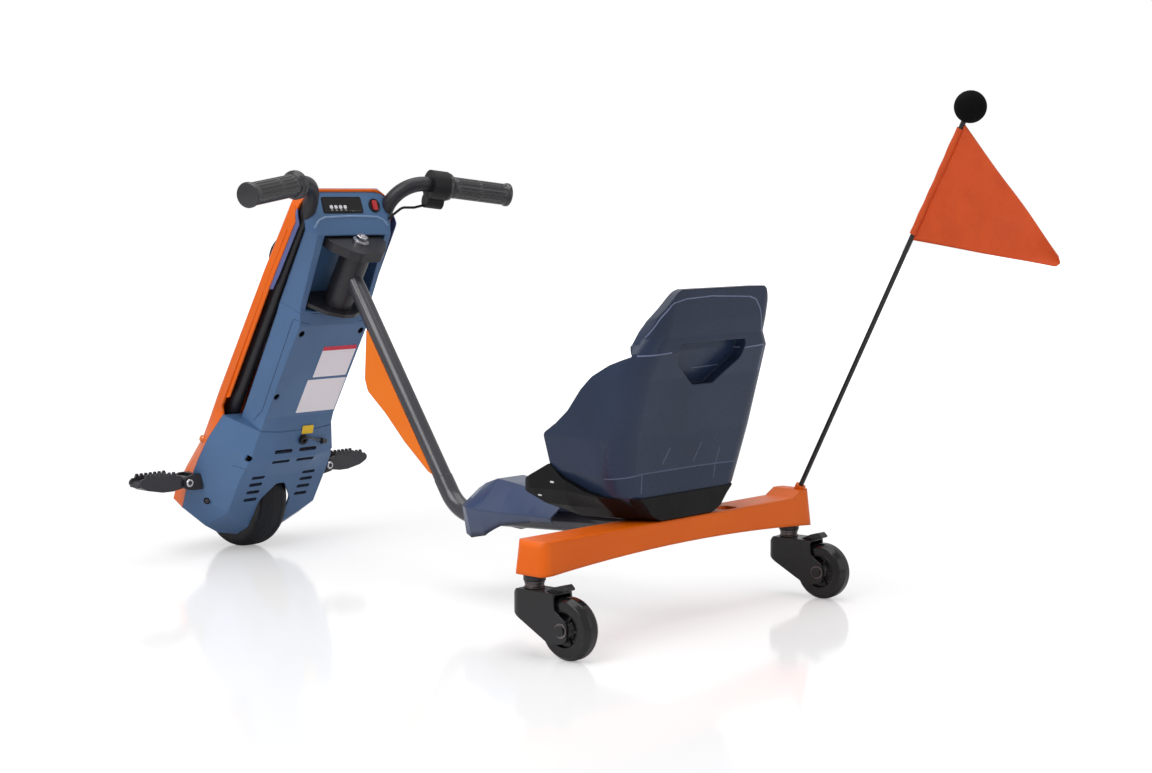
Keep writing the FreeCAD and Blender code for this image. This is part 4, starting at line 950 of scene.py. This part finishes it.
def buildDisplayMarks():
    # plain marks printed on the glass, a bead round the display and a turned ring round the switch
    p = panelSettings
    across = unit(panelSpot(1, 0) - panelSpot(0, 0))
    rise = unit(panelSpot(0, 1) - panelSpot(0, 0))
    normal = np.cross(across, rise)
    prints = [(roundRect(6.0, 5.2, 1.6, 5), u, p["markHeight"], 0.2) for u in p["marks"]]
    prints += [(roundRect(4.0, 0.9, 0.4, 3), u, p["dashHeight"], 0.2) for u in p["marks"]]
    prints.append((roundRect(22, 0.6, 0.25, 3), *p["line"], 0.15))
    marks = [softPlate(outline, panelSpot(u, v, p["glass"]), across, rise, 0.0, high, 0.05)
             for outline, u, v, high in prints]
    putPiece("displayMarks", marks, "steering", "printWhiteAndSlotLight")
    outline = roundRect(74.6, 23.6, 3.0) + p["frame"]
    frameRing = swept(panelSpot(outline[:, 0], outline[:, 1], 0.2), ringSection(0.9, 8), normal, closed=True)
    putPiece("displayBezel", [frameRing], "steering", "blackPlastic")
    line = [(10.6, -0.5), (10.6, 1.4), (10.0, 2.1), (9.0, 2.1), (8.5, 1.3), (0.3, 1.1)]
    switchRing = turned(panelSpot(*p["switch"]), normal, line, 56)
    putPiece("switchBezel", [switchRing], "steering", "blackPlastic")


buildDisplayMarks()
print("stage: labels and display")


# Lines moulded in the seat back, as (y, z) corners, in lighter blues that paint the highlights on them, and
# slots in the tub's sides at (x, z)
seatSettings = {"radius": 1.08,
                "creases": (((-104, 199), (-20, 200.5), (85, 200), (127, 196)), ((85, 199), (86.5, 176)),
                            ((-63, 221), (-56, 182)), ((38, 229), (48.6, 208)), ((-24, 232), (-12.6, 207)),
                            ((10, 327.5), (-43, 329))),
                "edges": (((126, 349.5), (79, 352)), ((-65, 350.5), (-105, 352.5), (-110, 318)),
                          ((114, 371), (105, 394), (92, 413), (70, 417.5), (20, 419.5), (-56, 416),
                           (-70, 412), (-84, 398), (-98, 368))),
                "slots": ((80.5, 185.8), (105.6, 166.5))}


def seatBeads(lines):
    # flattened bead along each line, dropped onto the shell from behind
    spots = [place(-260.0, *alongPolyline(points, 60)) for points in lines]
    return [beadOn("seat_shell", starts, (1, 0, 0), (-1, 0, 0.05), seatSettings["radius"], 0.4, 0.7)
            for starts in spots]


def buildTubSlotLight():
    # small pale plate on the tub's side at each slot, laid along the face, painting the light seen at the
    # slot
    plate = roundRect(6.5, 2.2, 0.9, 4)
    slots = []
    for x, z in seatSettings["slots"]:
        for side in (1, -1):
            spot, normal = hitNode("seat_tub", place(x, side * 200.0, z), (0.0, -float(side), 0.0))
            if spot is None:
                continue
            out = np.array(tuple(normal)) * (1 if normal[1] * side > 0 else -1)
            run = unit(np.cross([0.0, 0.0, 1.0], out))
            slots.append(softPlate(plate, tuple(spot), run, np.cross(out, run), -0.4, 0.25, 0.05))
    putPiece("tubSlotLight", slots, "frame", "printWhiteAndSlotLight")


# beads painted lighter blue as the highlights on the seat back's creases and edges
putPiece("seatBackCreaseHighlights", seatBeads(seatSettings["creases"]), "frame", "creaseHighlightBlue")
putPiece("seatBackEdgeHighlights", seatBeads(seatSettings["edges"]), "frame", "seatEdgeHighlight")
buildTubSlotLight()
print("stage: seat")


# Studio: pale floor that keeps shadow and a soft reflection, white to the camera beyond it
studioSettings = {"floorSize": 14.0, "glowNear": 0.33, "glowFar": 0.85, "world": 0.40, "gloss": 0.62,
                  "lamps": (("keyLight", (-0.1, 2.7, 2.4), 2.2, 54), ("topLight", (0.1, -0.2, 2.9), 2.6, 34),
                            ("fillLight", (-2.8, -0.6, 1.2), 2.0, 8))}


def buildFloor():
    # camera rays also see a glow that grows with the distance from the middle, so the floor fades to white
    p = studioSettings
    u = np.linspace(-p["floorSize"], p["floorSize"], 3)
    points = np.stack(np.meshgrid(u, u, indexing="xy") + [np.zeros((3, 3))], axis=-1)
    verts, faces = grid(points, wrapV=False, caps=False)
    mesh = bpy.data.meshes.new("floor")
    mesh.from_pydata(verts.tolist(), [], [face[::-1] for face in faces])
    mat, tree, shader, coord = finishBase("floorWhite")
    shader.inputs["Base Color"].default_value = (0.84, 0.84, 0.85, 1)
    shader.inputs["Specular IOR Level"].default_value = 0.75
    where = coord.outputs["Object"]
    link(tree, spread(tree, noise(tree, where, 3.0), 0.3, 0.7, 0.09, 0.12), shader.inputs["Roughness"])
    away = tree.nodes.new("ShaderNodeVectorMath")
    away.operation = "LENGTH"
    link(tree, where, away.inputs[0])
    path = tree.nodes.new("ShaderNodeLightPath")
    glow = tree.nodes.new("ShaderNodeEmission")
    glow.inputs["Color"].default_value = (1, 1, 1, 1)
    fade = spread(tree, away.outputs["Value"], 0.9, 3.2, p["glowNear"], p["glowFar"])
    link(tree, combine(tree, "MULTIPLY", path.outputs["Is Camera Ray"], fade), glow.inputs["Strength"])
    both = tree.nodes.new("ShaderNodeAddShader")
    link(tree, shader.outputs["BSDF"], both.inputs[0])
    link(tree, glow.outputs["Emission"], both.inputs[1])
    link(tree, both.outputs["Shader"], tree.nodes["Material Output"].inputs["Surface"])
    mesh.materials.append(mat)
    floor = bpy.data.objects.new("floor", mesh)
    bpy.context.scene.collection.objects.link(floor)


def buildWorld():
    # strength: 1 for camera and transmitted rays, gloss for mirrored ones and world for all others
    p = studioSettings
    world = bpy.data.worlds.new("studio")
    bpy.context.scene.world = world
    world.use_nodes = True
    tree = world.node_tree
    back = tree.nodes["Background"]
    back.inputs["Color"].default_value = (1, 1, 1, 1)
    path = tree.nodes.new("ShaderNodeLightPath")
    share = (p["gloss"] - p["world"]) / (1 - p["world"])
    mirror = spread(tree, path.outputs["Is Glossy Ray"], 0.0, 1.0, 0.0, share)
    seen = combine(tree, "MAXIMUM", path.outputs["Is Camera Ray"], mirror)
    seen = combine(tree, "MAXIMUM", seen, path.outputs["Is Transmission Ray"])
    link(tree, spread(tree, seen, 0.0, 1.0, p["world"], 1.0), back.inputs["Strength"])


def buildLamps():
    # square lamps turned to a point in the middle of the trike
    for name, spot, size, power in studioSettings["lamps"]:
        lamp = bpy.data.lights.new(name, "AREA")
        lamp.shape, lamp.size, lamp.energy = "SQUARE", size, power
        light = bpy.data.objects.new(name, lamp)
        light.location = spot
        light.rotation_euler = (Vector((0, 0, 0.25)) - Vector(spot)).to_track_quat("-Z", "Y").to_euler()
        bpy.context.scene.collection.objects.link(light)


buildFloor()
buildWorld()
buildLamps()

cameraSettings = {"spot": (-1.93360, 2.00672, 0.54480), "yaw": 0.83231, "pitch": 0.09329, "lens": 64.65}


def buildCamera():
    # at its spot, turned right by yaw from +X and down by pitch
    c = cameraSettings
    data = bpy.data.cameras.new("photoView")
    data.lens, data.sensor_width, data.sensor_fit = c["lens"], 36.0, "HORIZONTAL"
    camera = bpy.data.objects.new("photoView", data)
    camera.location = c["spot"]
    flat = math.cos(c["pitch"])
    look = Vector((math.cos(c["yaw"]) * flat, -math.sin(c["yaw"]) * flat, -math.sin(c["pitch"])))
    camera.rotation_euler = look.to_track_quat("-Z", "Y").to_euler()
    bpy.context.scene.collection.objects.link(camera)
    bpy.context.scene.camera = camera
    bpy.context.scene.view_settings.view_transform = "Standard"


buildCamera()
print("stage: studio and camera")
